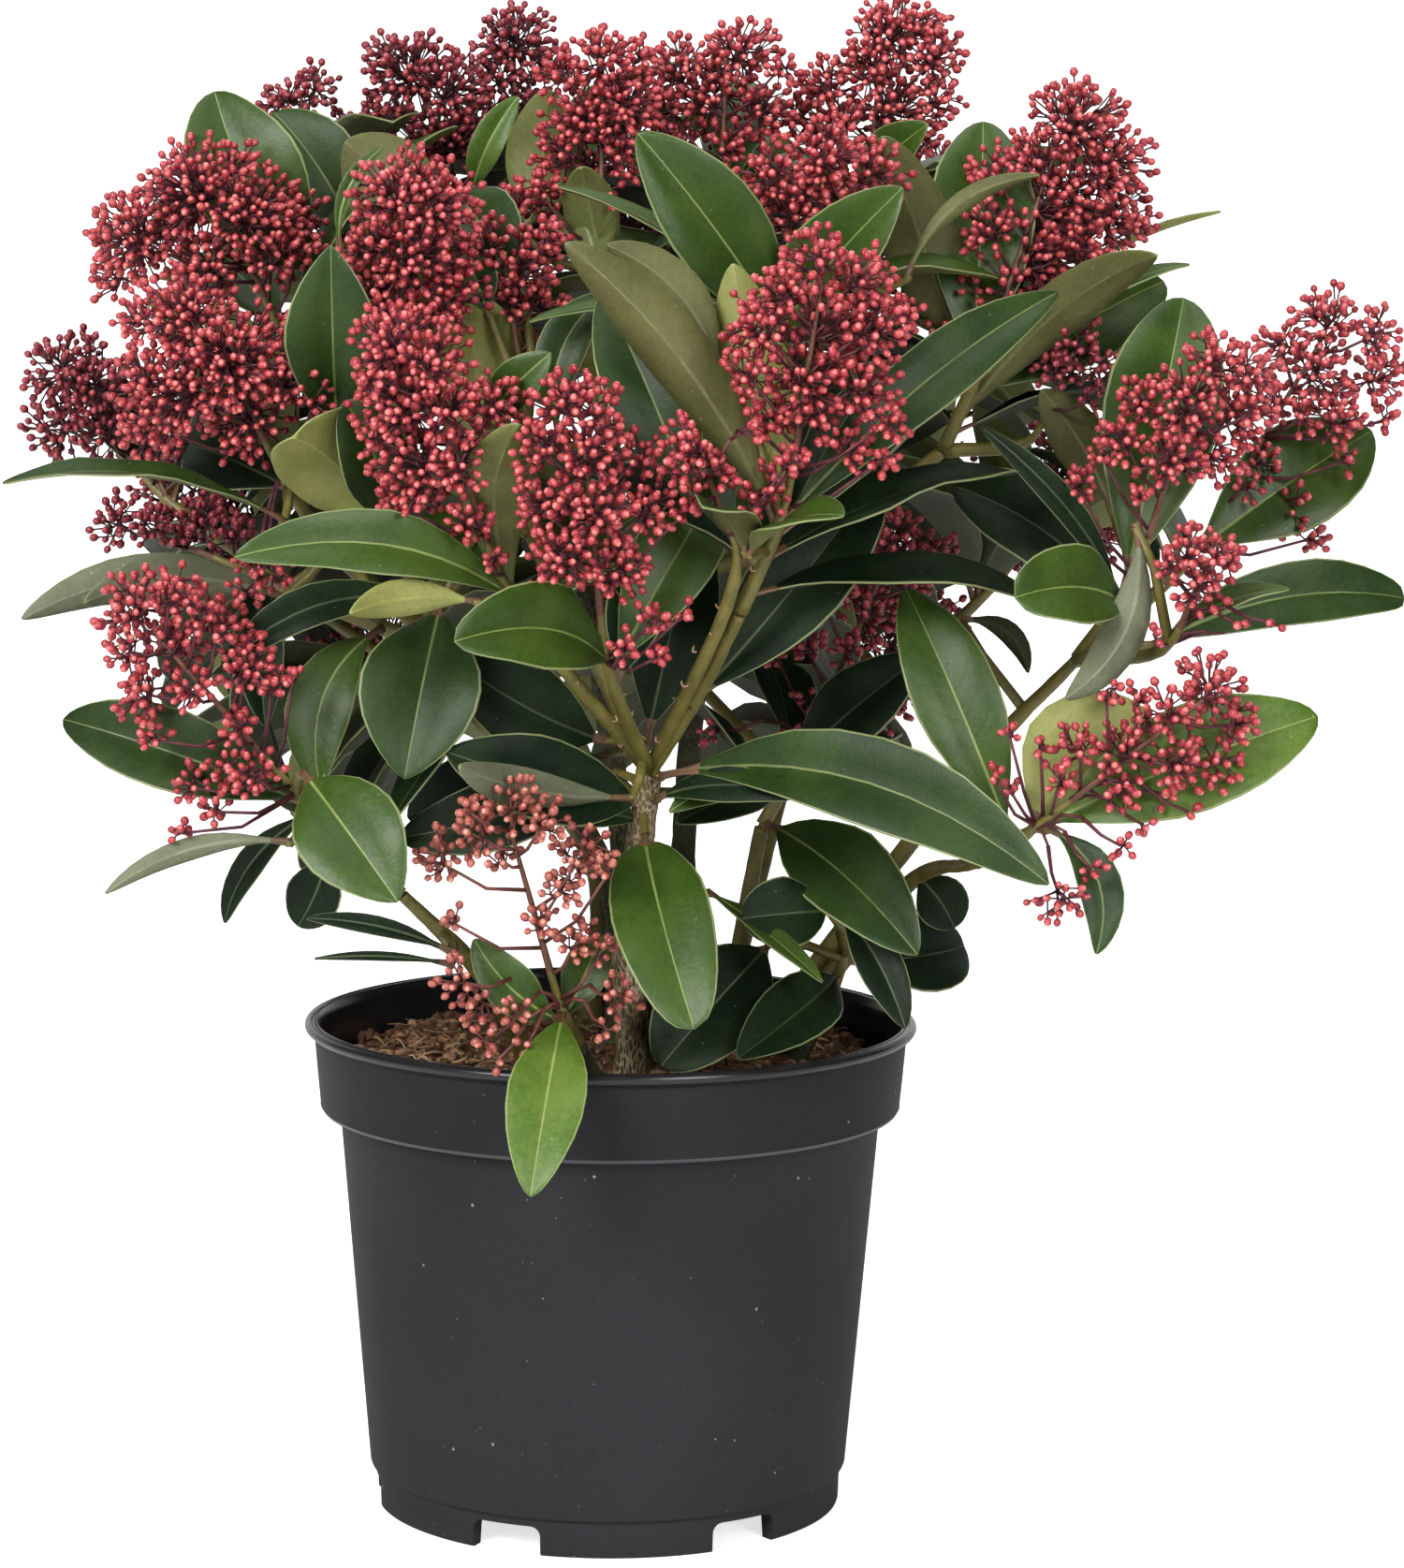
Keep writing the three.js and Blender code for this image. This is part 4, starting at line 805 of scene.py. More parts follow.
def smooth_route(points, steps):
    """Points along the smooth curve through the given ones, steps to each stretch."""
    points = [Vector(p) for p in points]
    before = points[0] * 2 - points[1]
    after = points[-1] * 2 - points[-2]
    all_points = [before, *points, after]
    route = []
    for i in range(len(points) - 1):
        p0, p1, p2, p3 = all_points[i:i + 4]
        d0 = math.sqrt((p1 - p0).length)
        d1 = math.sqrt((p2 - p1).length)
        d2 = math.sqrt((p3 - p2).length)
        m1 = ((p1 - p0) / d0 - (p2 - p0) / (d0 + d1) + (p2 - p1) / d1) * d1
        m2 = ((p2 - p1) / d1 - (p3 - p1) / (d1 + d2) + (p3 - p2) / d2) * d1
        for step in range(steps):
            t = step / steps
            route.append(
                p1 + m1 * t + (-3 * p1 + 3 * p2 - 2 * m1 - m2) * t * t
                + (2 * p1 - 2 * p2 + m1 + m2) * t ** 3)
    route.append(points[-1].copy())
    return route


def frame_of(along, upper):
    """A direction's frame: side x upper = along."""
    normal = (upper - along * upper.dot(along)).normalized()
    return normal.cross(along).normalized(), normal


def mix(low, high, share):
    return low + (high - low) * share


def head_outline(t):
    return math.sin(math.pi * t ** 0.75) ** 0.7 if 0 < t < 1 else 0


# ---- Leaves ----
LEAF_ROWS = np.array([
    0, 0.03, 0.065, 0.11, 0.17, 0.25, 0.34, 0.44, 0.54, 0.64, 0.74, 0.83, 0.9, 0.95, 0.982, 1])
ACROSS_TOP = np.array([1, 0.955, 0.66, 0.34, 0.05, -0.05, -0.34, -0.66, -0.955, -1])
ACROSS_UNDER = np.array([-1, -0.6, -0.07, 0.07, 0.6, 1])
RIB_PLACES = np.array([4, 5, 12, 13])  # where the rib's edges are in the section
RIB_SIGNS = np.array([1, -1, -1.5, 1.5])
UPPER_KIND, RIB_KIND, EDGE_KIND, UNDER_KIND, STALK_KIND, UNDER_RIB_KIND = range(6)
LEAF_EDGE = 0.45  # thickness at the margin, mm
LEAF_MIDDLE = 0.9
RIB_STANDS = 0.7  # how far the rib stands out of the underside
STALK_ROWS = 3  # rows of faces in the leaf stalk's colour
BLADE_FROM = 4  # the row where the blade is clear of the twig
BLADE_SHARE = 0.06  # the stalk's share of the length
LEAF_TIP = 0.62  # from 0.4, a round tip, to 0.9, a drawn out one
LEAF_FOLD = 0.36  # how far a blade's halves rise, as a share of the half width
LEAF_FOLD_MORE = 0.16
LEAF_ROLL = 0.10  # how far its margins bend back down
LEAF_WAVE = 0.05  # how far they flutter


def leaf_outline(t, tip_shape):
    """Half the leaf's width at t from root to tip, for a full width of 1."""
    blade = min(max((t - BLADE_SHARE) / (1 - BLADE_SHARE), 0), 1)
    root_shape = 0.95 if tip_shape >= 0.5 else 0.6
    return 0.5 * max(math.sin(math.pi * blade ** 1.12), 0) ** mix(root_shape, tip_shape, blade)


def leaf_shape(root, tip, width, upper, arch, sweep, twist, tip_shape, more_fold, random):
    """A leaf blade with its stalk, rib and margin, from rings of points round its section."""
    along = tip - root
    length = along.length + LEAF_SUNK
    along.normalize()
    start = root - along * LEAF_SUNK
    side, normal = frame_of(along, upper)
    fold = LEAF_FOLD + LEAF_FOLD_MORE * random() + more_fold
    roll = LEAF_ROLL + LEAF_ROLL * random()
    wave = LEAF_WAVE + LEAF_WAVE * random()
    wave_count = 1.6 + 1.2 * random()
    phase = math.tau * random()
    rings = []
    for t in LEAF_ROWS:
        bow = 4 * t * (1 - t)
        centre = start + along * (length * t) + normal * (arch * length * bow) + side * (sweep * length * bow)
        slope = 4 - 8 * t
        tangent = (along + normal * (arch * slope) + side * (sweep * slope)).normalized()
        turn = Matrix.Rotation(math.radians(twist) * (t - 0.35), 3, tangent)
        here_side = turn @ (side - tangent * side.dot(tangent)).normalized()
        here_normal = tangent.cross(here_side)
        half = max(width * leaf_outline(t, tip_shape), mix(1.4, 0.4, min(t / 0.2, 1)))
        stalk = max(1 - t / 0.16, 0)
        across = np.concatenate([ACROSS_TOP, ACROSS_UNDER])
        across[RIB_PLACES] = RIB_SIGNS * min(mix(0.5, 0.14, t) / half, 0.3)
        on_top = np.concatenate([np.ones(len(ACROSS_TOP)), np.zeros(len(ACROSS_UNDER))])
        far = np.abs(across)
        flutter = wave * half * far ** 2 * np.sin(math.tau * wave_count * t + phase * np.sign(across))
        rise = half * (fold * far * (1 - 0.6 * stalk) - roll * far ** 4) + flutter * (1 - stalk)
        thick = mix(LEAF_EDGE, LEAF_MIDDLE, 1 - far) + 1.5 * stalk * (1 - far ** 2)
        middle = (far < 0.31) * (1 - 0.75 * t) * np.isin(np.arange(len(far)), RIB_PLACES)
        rise = rise + np.where(on_top, thick / 2 - 0.25 * middle, -thick / 2 - RIB_STANDS * middle)
        offset = np.outer(across * half, here_side) + np.outer(rise, here_normal)
        rings.append(np.array(centre) + offset)
    blade_half = [UPPER_KIND] * 3
    top = [EDGE_KIND, *blade_half, RIB_KIND, *blade_half, EDGE_KIND]
    under = [UNDER_KIND, UNDER_KIND, UNDER_RIB_KIND, UNDER_KIND, UNDER_KIND]
    section = top + [EDGE_KIND] + under + [EDGE_KIND]
    kinds = [
        section if row >= STALK_ROWS else [STALK_KIND] * len(section)
        for row in range(len(LEAF_ROWS) - 1)]
    points, loops, sizes, slots = rings_shape(rings, kinds)
    sides = len(section)
    map_across = 0.5 + 0.5 * np.concatenate([ACROSS_TOP, ACROSS_UNDER])
    maps = np.stack([map_across[loops % sides], LEAF_ROWS[loops // sides]], axis=1)
    return points, loops, sizes, slots, maps


class Crown:
    """The space that is taken so far."""

    def __init__(self):
        self.taken = []

    def shape_of(self, points, loops, sizes):
        starts = np.concatenate([[0], np.cumsum(sizes)[:-1]])
        faces = [tuple(loops[s:s + n]) for s, n in zip(starts, sizes)]
        tree = BVHTree.FromPolygons([tuple(p) for p in points], faces)
        return points.min(axis=0), points.max(axis=0), tree

    def take(self, shape, owner=None):
        self.taken.append((shape, owner))

    def is_free(self, shape, owner=None):
        low, high, tree = shape
        for (other_low, other_high, other_tree), other_owner in self.taken:
            if owner is not None and owner == other_owner:
                continue
            if np.all(low < other_high) and np.all(other_low < high) and tree.overlap(other_tree):
                return False
        return True


crown = Crown()
leaf_faces = []  # every blade's points and faces, to keep buds clear of them
clear_faces = []  # those that no bud hangs in front of
limb_points = []
side_twigs = []  # shoot, foot, tip and the leaf's way, for leaves that stand off the wood


def grow_limbs():
    """The limbs' routes and radii, as the solids have them."""
    limbs = {}
    for name, parent, foot, tip, *route in LIMBS:
        points = [Vector(p) for p in route]
        if parent:
            end = limbs[parent][0][-1]
            points.insert(0, end + (points[0] - end).normalized())
        path = smooth_route(points, 8)
        share = [i / (len(path) - 1) for i in range(len(path))]
        flare = 0 if parent else 0.45
        radii = [mix(foot, tip, t) * (1 + flare * math.exp(-14 * t)) for t in share]
        limbs[name] = (path, radii, parent)
        limb_points.extend(path)
        points, loops, sizes, _ = rings_shape(tube_rings(path, radii, 6), [[0] * 6] * (len(path) - 1))
        crown.take(crown.shape_of(points, loops, sizes))
    return limbs


class Shoot:
    """One shoot: its twig, and where its leaves and its flower head go."""

    def __init__(self, index, limb_tips, row):
        self.name, limb, node, top, self.spread, self.spare, self.tone, self.bud_tone, self.leaves = row
        self.random = seeded_random(index + 1)
        self.extras = seeded_random(1000 + index)
        self.node = Vector(node)
        self.top = Vector(top)
        self.height = (self.top - self.node).length
        self.axis = (self.top - self.node).normalized()
        foot = limb_tips[limb]
        self.start = foot + (self.node - foot).normalized()
        upper = Vector((0, 1, 0)) if abs(self.axis.z) > 0.9 else UP
        self.side, self.normal = frame_of(self.axis, upper)
        self.route = smooth_route([self.start, self.node, self.node.lerp(self.top, 0.5), self.top], 8)

    def root_below(self, distance):
        away = self.start - self.node
        return self.node + away.normalized() * min(distance, 0.85 * away.length)


def grow_leaf(shoot, batches, root, tip, width, upper, look, must=False):
    """A leaf of that look: tone, arch, sweep, twist, tip and fold. Returns whether it had room."""
    tone, *bends = look
    points, loops, sizes, kinds, maps = leaf_shape(root, tip, width, upper, *bends, shoot.extras)
    sides = len(ACROSS_TOP) + len(ACROSS_UNDER)
    blade = points[BLADE_FROM * sides:]
    blade_rows = len(LEAF_ROWS) - BLADE_FROM
    blade_faces = rings_shape(blade.reshape(blade_rows, sides, 3), [[0] * sides] * (blade_rows - 1))
    solid = crown.shape_of(blade, blade_faces[1], blade_faces[2])
    if not must and not (keeps_open(blade) and crown.is_free(solid)):
        return False
    crown.take(solid)
    leaf_faces.append((points, loops, sizes))
    batches[tone].add(points, loops, sizes, kinds, maps)
    batches[tone].nodes.add("shoot_" + shoot.name)
    return True


def keeps_open(points):
    """Whether the points, looked at from EYE, stay inside the crown's edge and off its open places."""
    shrink = EYE.y / (EYE.y - points[:, 1])
    x = EYE.x + (points[:, 0] - EYE.x) * shrink
    z = EYE.z + (points[:, 2] - EYE.z) * shrink
    inside = np.zeros(len(points), bool)
    for (x0, z0), (x1, z1) in zip(CROWN_EDGE, CROWN_EDGE[1:] + CROWN_EDGE[:1]):
        if z0 != z1:
            inside ^= ((z0 > z) != (z1 > z)) & (x < x0 + (x1 - x0) * (z - z0) / (z1 - z0))
    in_gap = np.zeros(len(points), bool)
    for low, high, foot, top in OPEN_PLACES:
        in_gap |= (low < x) & (x < high) & (foot < z) & (z < top)
    return inside.all() and not in_gap.any()


def nearest_wood(shoot, place):
    """The nearest point on the limbs and on the shoot's own twig."""
    length = (shoot.node - shoot.start).length
    twig = [point for point in shoot.route if (point - shoot.start).length <= length]
    return min(limb_points + twig, key=lambda point: (point - place).length)


def tip_way(root, tip):
    return (Vector(tip) - root).normalized()


def grow_known_leaves(shoot, batches):
    usual = (shoot.tone, LEAF_ARCH, 0.0, 0.0, LEAF_TIP, 0.0)
    for i, (x, y, z, width, face, below, *look) in enumerate(shoot.leaves):
        if isinstance(below, tuple):
            root = Vector(below)
            side_twigs.append((shoot, nearest_wood(shoot, root), root, tip_way(root, (x, y, z))))
        else:
            root = shoot.root_below(below)
        grow_leaf(
            shoot, batches, root, Vector((x, y, z)), width, UPPER_SIDE[face],
            (*look, *usual[len(look):]), must=True)
        if i in CLEAR_LEAVES.get(shoot.name, ()):
            clear_faces.append(leaf_faces[-1])


def grow_spare_leaves(shoot, batches):
    """Spare leaves stand round the twig by the golden angle and look up along it."""
    random = shoot.random
    first = 360 * random()
    grown = 0
    wanted = round(FULLER * shoot.spare)
    tries = SPARE_TURNS * wanted
    for i in range(tries):
        if grown >= wanted:
            return
        turn = math.radians(first + i * GOLDEN_ANGLE)
        lean = math.radians(SPARE_LEAN + SPARE_LEAN_MORE * random())
        length = SPARE_LENGTH + SPARE_LENGTH_MORE * random()
        out = shoot.side * math.cos(turn) + shoot.normal * math.sin(turn)
        along = shoot.axis * math.cos(lean) + out * math.sin(lean)
        below = SPARE_ROOT + SPARE_ROOT_MORE * i / tries
        root = shoot.root_below(below)
        tip = root + along * length
        is_inside = (tip.z > LEAF_FLOOR and CROWN_LEFT < tip.x < CROWN_RIGHT
                     and CROWN_FRONT < tip.y < CROWN_BACK)
        is_hidden = shoot.node.y > BACK_FROM or tip.y > shoot.node.y
        arch = mix(0.04, 0.14, shoot.extras())
        sweep = mix(-0.05, 0.05, shoot.extras())
        twist = mix(-25, 25, shoot.extras())
        # leaves low on the twig sit deep in the crown and take the painted-shade tone
        tone = "deep" if below > PAINTED_SHADE_BELOW else shoot.tone
        look = (tone, arch, sweep, twist, mix(0.5, 0.7, shoot.extras()), 0.0)
        if is_inside and is_hidden and grow_leaf(
                shoot, batches, root, tip, SPARE_WIDTH * length, shoot.axis, look):
            grown += 1


# ---- Flower heads ----
CLEAR_DEPTH = 60  # how far in front of a leaf no bud hangs
BUD_WIDTH = 2.65
BUD_LENGTH = 2.8
BUD_SPACE = 3.15  # the least distance between two buds' middles
LEAF_GAP = 1.5  # the least distance from a bud's middle to a leaf
BUD_STALK = 0.26  # radii of the three orders of stalks
SPRIG = 0.38
BRANCH = 0.56
BUNCH_SPACE = 10.5  # the least distance between two bunches' middles
BUNCH_REACH = 8.0  # from a bunch's fork to its buds
BUNCH_SPREAD = 88  # degrees from a bunch's middle to its outermost buds
BUNCH_WIDTH = 0.88  # how wide a bunch's dome is for its height
BUNCH_SIZES = (0.85, 1.1)  # a bunch's reach as a share of the usual one
BUD_RANGE = (0.75, 1.75)  # how far out a bud stands, as a share of its bunch's reach
BUD_SIZES = (0.82, 1.1)
BUNCH_TRIES = 62
BACK_TONE = "plum"  # the tone of the heads at the back
BACK_TRIES = 29  # as many there, where a head has more bunches
FORK_DEPTH = 0.4  # how far below its middle a bunch forks, as a share of its reach
SPRIG_SPACE = 3.4  # how far apart a bunch's sprigs end
BRANCH_RISE = 0.8  # how far up the axis a bunch stands from its branch's foot, as a share of its way out
HEAD_TRIES = 260  # places tried for the bunches of a head whose bunches aren't listed
HEAD_MARGIN = 3  # how far they stay inside its outline
HEAD_FOOT = 0.03  # the lowest foot of a branch, as a share of the head's height
HEAD_TOP = 0.8  # the highest one
BRANCH_LEANS = (72, 24)  # degrees from the axis at the head's foot and at its top
SPRIG_END = 0.45  # how far along the way to its first bud a sprig ends
REAR_GAP = 5  # from a bunch's reach to the middle of the one behind it
HANG_RISE = 5  # how far a hanging branch rises first
BEHIND = Vector((0.1, 1, 0.1)).normalized()  # the way from a bunch to the one at the head's far side


def bud_shape():
    """A closed bud on its foot: a small pear of four rings, with faces at its top for a paler colour that is
    partly the bud's own tip and partly a painted highlight.
    """
    sides = 6
    outline = [(0.34, 0.0), (0.90, 0.24), (0.98, 0.58), (0.62, 0.91)]
    turns = np.arange(sides) * math.tau / sides
    rings = []
    for i, (radius, z) in enumerate(outline):
        turned = turns + i * math.pi / sides * 0.5
        ring = [radius / 2 * np.cos(turned), radius / 2 * np.sin(turned), np.full(sides, z)]
        rings.append(np.stack(ring, 1))
    points, loops, sizes, kinds = rings_shape(rings, [[0] * sides] * 3)
    # the flat top becomes a low point
    peak = len(points)
    points = np.vstack([points, [[0, 0, 1.03]]])
    loops = list(loops[:-sides])
    sizes = list(sizes[:-1])
    kinds = list(kinds[:-1])
    # the top faces take the paler colour, partly a painted highlight
    for side in range(sides):
        loops += [peak - sides + side, peak - sides + (side + 1) % sides, peak]
        sizes.append(3)
        kinds.append(1)
    return points, np.array(loops), np.array(sizes), np.array(kinds)


class Heads:
    """Collects the stalks and buds of all the flower heads, by tone."""

    def __init__(self, leaves_tree, clear_tree):
        self.leaves = leaves_tree
        self.clear = clear_tree
        self.cells = {}
        self.branches = {tone: [] for tone in BUD_TONES}
        self.sprigs = {tone: [] for tone in BUD_TONES}
        self.stalks = {tone: [] for tone in BUD_TONES}
        self.buds = {tone: [] for tone in BUD_TONES}

    def has_room(self, place):
        key = tuple(int(c // BUD_SPACE) for c in place)
        near = [
            (key[0] + dx, key[1] + dy, key[2] + dz)
            for dx in (-1, 0, 1) for dy in (-1, 0, 1) for dz in (-1, 0, 1)]
        if any((place - other).length < BUD_SPACE for cell in near for other in self.cells.get(cell, ())):
            return False
        if self.leaves.find_nearest(place, LEAF_GAP)[0] is not None:
            return False
        if self.clear.ray_cast(place, (place - EYE).normalized(), CLEAR_DEPTH)[0] is not None:
            return False
        self.cells.setdefault(key, []).append(place)
        return True

    def grow_bunch(self, tone, foot, middle, reach, random):
        """A branch from the foot that forks into sprigs, and those into buds on a dome round the middle.

        Returns the fork, or nothing where there is no room.
        """
        way = (middle - foot).normalized() if (middle - foot).length > 1 else UP
        fork = middle - way * (FORK_DEPTH * reach)
        right = way.orthogonal().normalized()
        ahead = way.cross(right)
        places = []
        tries = BACK_TRIES if tone == BACK_TONE else BUNCH_TRIES
        for _ in range(round(tries * (reach / BUNCH_REACH) ** 2) + 4):
            lean = math.radians(BUNCH_SPREAD) * math.sqrt(random())
            turn = math.tau * random()
            beside = right * math.cos(turn) + ahead * math.sin(turn)
            out = way * math.cos(lean) + beside * (BUNCH_WIDTH * math.sin(lean))
            place = fork + out * (reach * mix(*BUD_RANGE, random()))
            if self.has_room(place):
                places.append((place, out))
        if len(places) < 2:
            return None
        sprigs = []
        for place, out in places:
            own = fork.lerp(place, SPRIG_END)
            sprig = min(sprigs, key=lambda s: (s - own).length_squared, default=None)
            if sprig is None or (sprig - own).length > SPRIG_SPACE:
                sprig = own
                sprigs.append(sprig)
                bend = (sprig - fork).cross(way).normalized() * mix(-0.6, 0.6, random())
                self.sprigs[tone].append((fork, fork.lerp(sprig, 0.5) + bend, sprig))
            stem = place - sprig
            self.stalks[tone].append((sprig, place))
            facing_out = (stem.normalized() + out.normalized() * 0.8 + UP * 0.2).normalized()
            self.buds[tone].append((place, facing_out, mix(*BUD_SIZES, random())))
        bend = UP * (0.1 * (fork - foot).length) - (fork - foot).orthogonal().normalized() * 0.5
        self.branches[tone].append((foot, foot.lerp(fork, 0.5) - bend, fork))
        return fork


def seen_place(x, y, depth):
    """Where, at that depth, the camera sees the point x, y of its frame."""
    right, up = x - FRAME_WIDTH / 2, FRAME_HEIGHT / 2 - y
    roll, down = math.radians(CAMERA_ROLL), math.radians(CAMERA_DOWN)
    level = math.cos(roll) * right - math.sin(roll) * up
    rise = math.sin(roll) * right + math.cos(roll) * up
    ahead = FRAME_LENS * math.cos(down) + rise * math.sin(down)
    climb = rise * math.cos(down) - FRAME_LENS * math.sin(down)
    eye_x, eye_y, eye_z = CAMERA_PLACE
    reach = (depth - eye_y) / ahead
    return eye_x + level * reach, depth, eye_z + climb * reach


def placed_bunches(name):
    """The head's bunches as x, y, z and half width in millimetres."""
    head_depth, seen = HEAD_BUNCHES[name]
    bunches = []
    for i, (x, y, half_width) in enumerate(seen):
        depth = head_depth + BUNCH_DEPTHS[i % len(BUNCH_DEPTHS)]
        reach = round(half_width * (depth - CAMERA_PLACE[1]) / FRAME_LENS, 1)
        for growth in HEAD_GROWTH.get(name, ()):
            reach = round(reach * growth, 1)
        bunches.append((*(round(c) for c in seen_place(x, y, depth)), reach))
    return bunches


def bunch_places(shoot, random):
    """The feet and middles of the head's bunches, over its outline and some way into it."""
    bunches = []
    for _ in range(HEAD_TRIES):
        t = mix(0.05, 0.99, random())
        turn = math.tau * random()
        depth = mix(0.5, 1.0, math.sqrt(random()))
        out = shoot.side * math.cos(turn) + shoot.normal * math.sin(turn)
        reach = max(shoot.spread * head_outline(t) - HEAD_MARGIN, 0) * depth
        at = shoot.height * mix(0.04, 0.97, t)
        middle = shoot.node + shoot.axis * at + out * reach
        lean = math.radians(mix(*BRANCH_LEANS, t))
        lowest, highest = HEAD_FOOT * shoot.height, HEAD_TOP * shoot.height
        foot_at = min(max(at - reach / math.tan(lean), lowest), highest)
        if all((middle - other).length > BUNCH_SPACE for _, other in bunches):
            bunches.append((shoot.node + shoot.axis * foot_at, middle))
    return bunches


def grow_head(shoot, heads):
    if not shoot.spread:
        return
    random = shoot.extras
    if shoot.name not in HEAD_BUNCHES:
        for foot, middle in bunch_places(shoot, random):
            reach = BUNCH_REACH * mix(*BUNCH_SIZES, random())
            heads.grow_bunch(shoot.bud_tone, foot, middle, reach, random)
        return
    for x, y, z, reach in placed_bunches(shoot.name):
        middle = Vector((x, y, z))
        along = (middle - shoot.node).dot(shoot.axis)
        beside = (middle - shoot.node - shoot.axis * along).length
        at = min(max(along - BRANCH_RISE * beside, 0), HEAD_TOP * shoot.height)
        foot = shoot.node + shoot.axis * at
        if reach < 0:
            rise = foot.lerp(middle, 0.5) + UP * HANG_RISE
            heads.branches[shoot.bud_tone].append((foot, foot.lerp(rise, 0.5) + UP * (0.3 * HANG_RISE), rise))
            foot = rise
        fork = heads.grow_bunch(shoot.bud_tone, foot, middle, abs(reach), random)
        if reach > 0:
            rear = middle + BEHIND * (reach + REAR_GAP)
            heads.grow_bunch(shoot.bud_tone, fork or foot, rear, reach, random)


# ======== Pot ========
def select_none():
    if bpy.context.mode != "OBJECT":
        bpy.ops.object.mode_set(mode="OBJECT")
    bpy.ops.object.select_all(action="DESELECT")


def select_only(thing):
    """thing alone is selected and active."""
    select_none()
    thing.select_set(True)
    bpy.context.view_layer.objects.active = thing


def spin_profile(name, profile, steps):
    """A turned piece: the profile, as radius and height, is drawn by extruding and spun round Z."""
    select_none()
    bpy.ops.mesh.primitive_plane_add(size=MM, location=(0, 0, 0))
    piece = bpy.context.object
    piece.name = piece.data.name = name
    bpy.ops.object.mode_set(mode="EDIT")
    bpy.ops.mesh.select_mode(type="VERT")
    bpy.ops.mesh.select_all(action="SELECT")
    bpy.ops.mesh.merge(type="CENTER")
    here = Vector((0, 0, 0))
    for radius, height in profile:
        step = Vector((0, -radius * MM, height * MM)) - here
        here += step
        if (radius, height) == profile[0]:
            bpy.ops.transform.translate(value=step)
        else:
            bpy.ops.mesh.extrude_region_move(TRANSFORM_OT_translate={"value": step})
    bpy.ops.mesh.select_all(action="SELECT")
    bpy.ops.mesh.spin(steps=steps, angle=math.tau, center=(0, 0, 0), axis=(0, 0, 1))
    bpy.ops.mesh.select_all(action="SELECT")
    bpy.ops.mesh.remove_doubles(threshold=0.02 * MM)
    bpy.ops.mesh.normals_make_consistent(inside=False)
    bpy.ops.object.mode_set(mode="OBJECT")
    return piece


def apply_modifier(piece, kind, **settings):
    select_only(piece)
    modifier = piece.modifiers.new(kind.lower(), kind)
    for key, value in settings.items():
        setattr(modifier, key, value)
    bpy.ops.object.modifier_apply(modifier=modifier.name)


def arc(centre_radius, centre_height, radius, start, end, steps):
    """Points of a profile's round stretch, from start to end degrees."""
    angles = [math.radians(a) for a in np.linspace(start, end, steps)]
    return [(centre_radius + radius * math.cos(a), centre_height + radius * math.sin(a)) for a in angles]


def inside_radius(z):
    share = (z - FOOT_HEIGHT) / (COLLAR_FOOT - FOOT_HEIGHT)
    return mix(BODY_FOOT_RADIUS, BODY_TOP_RADIUS, share) - WALL


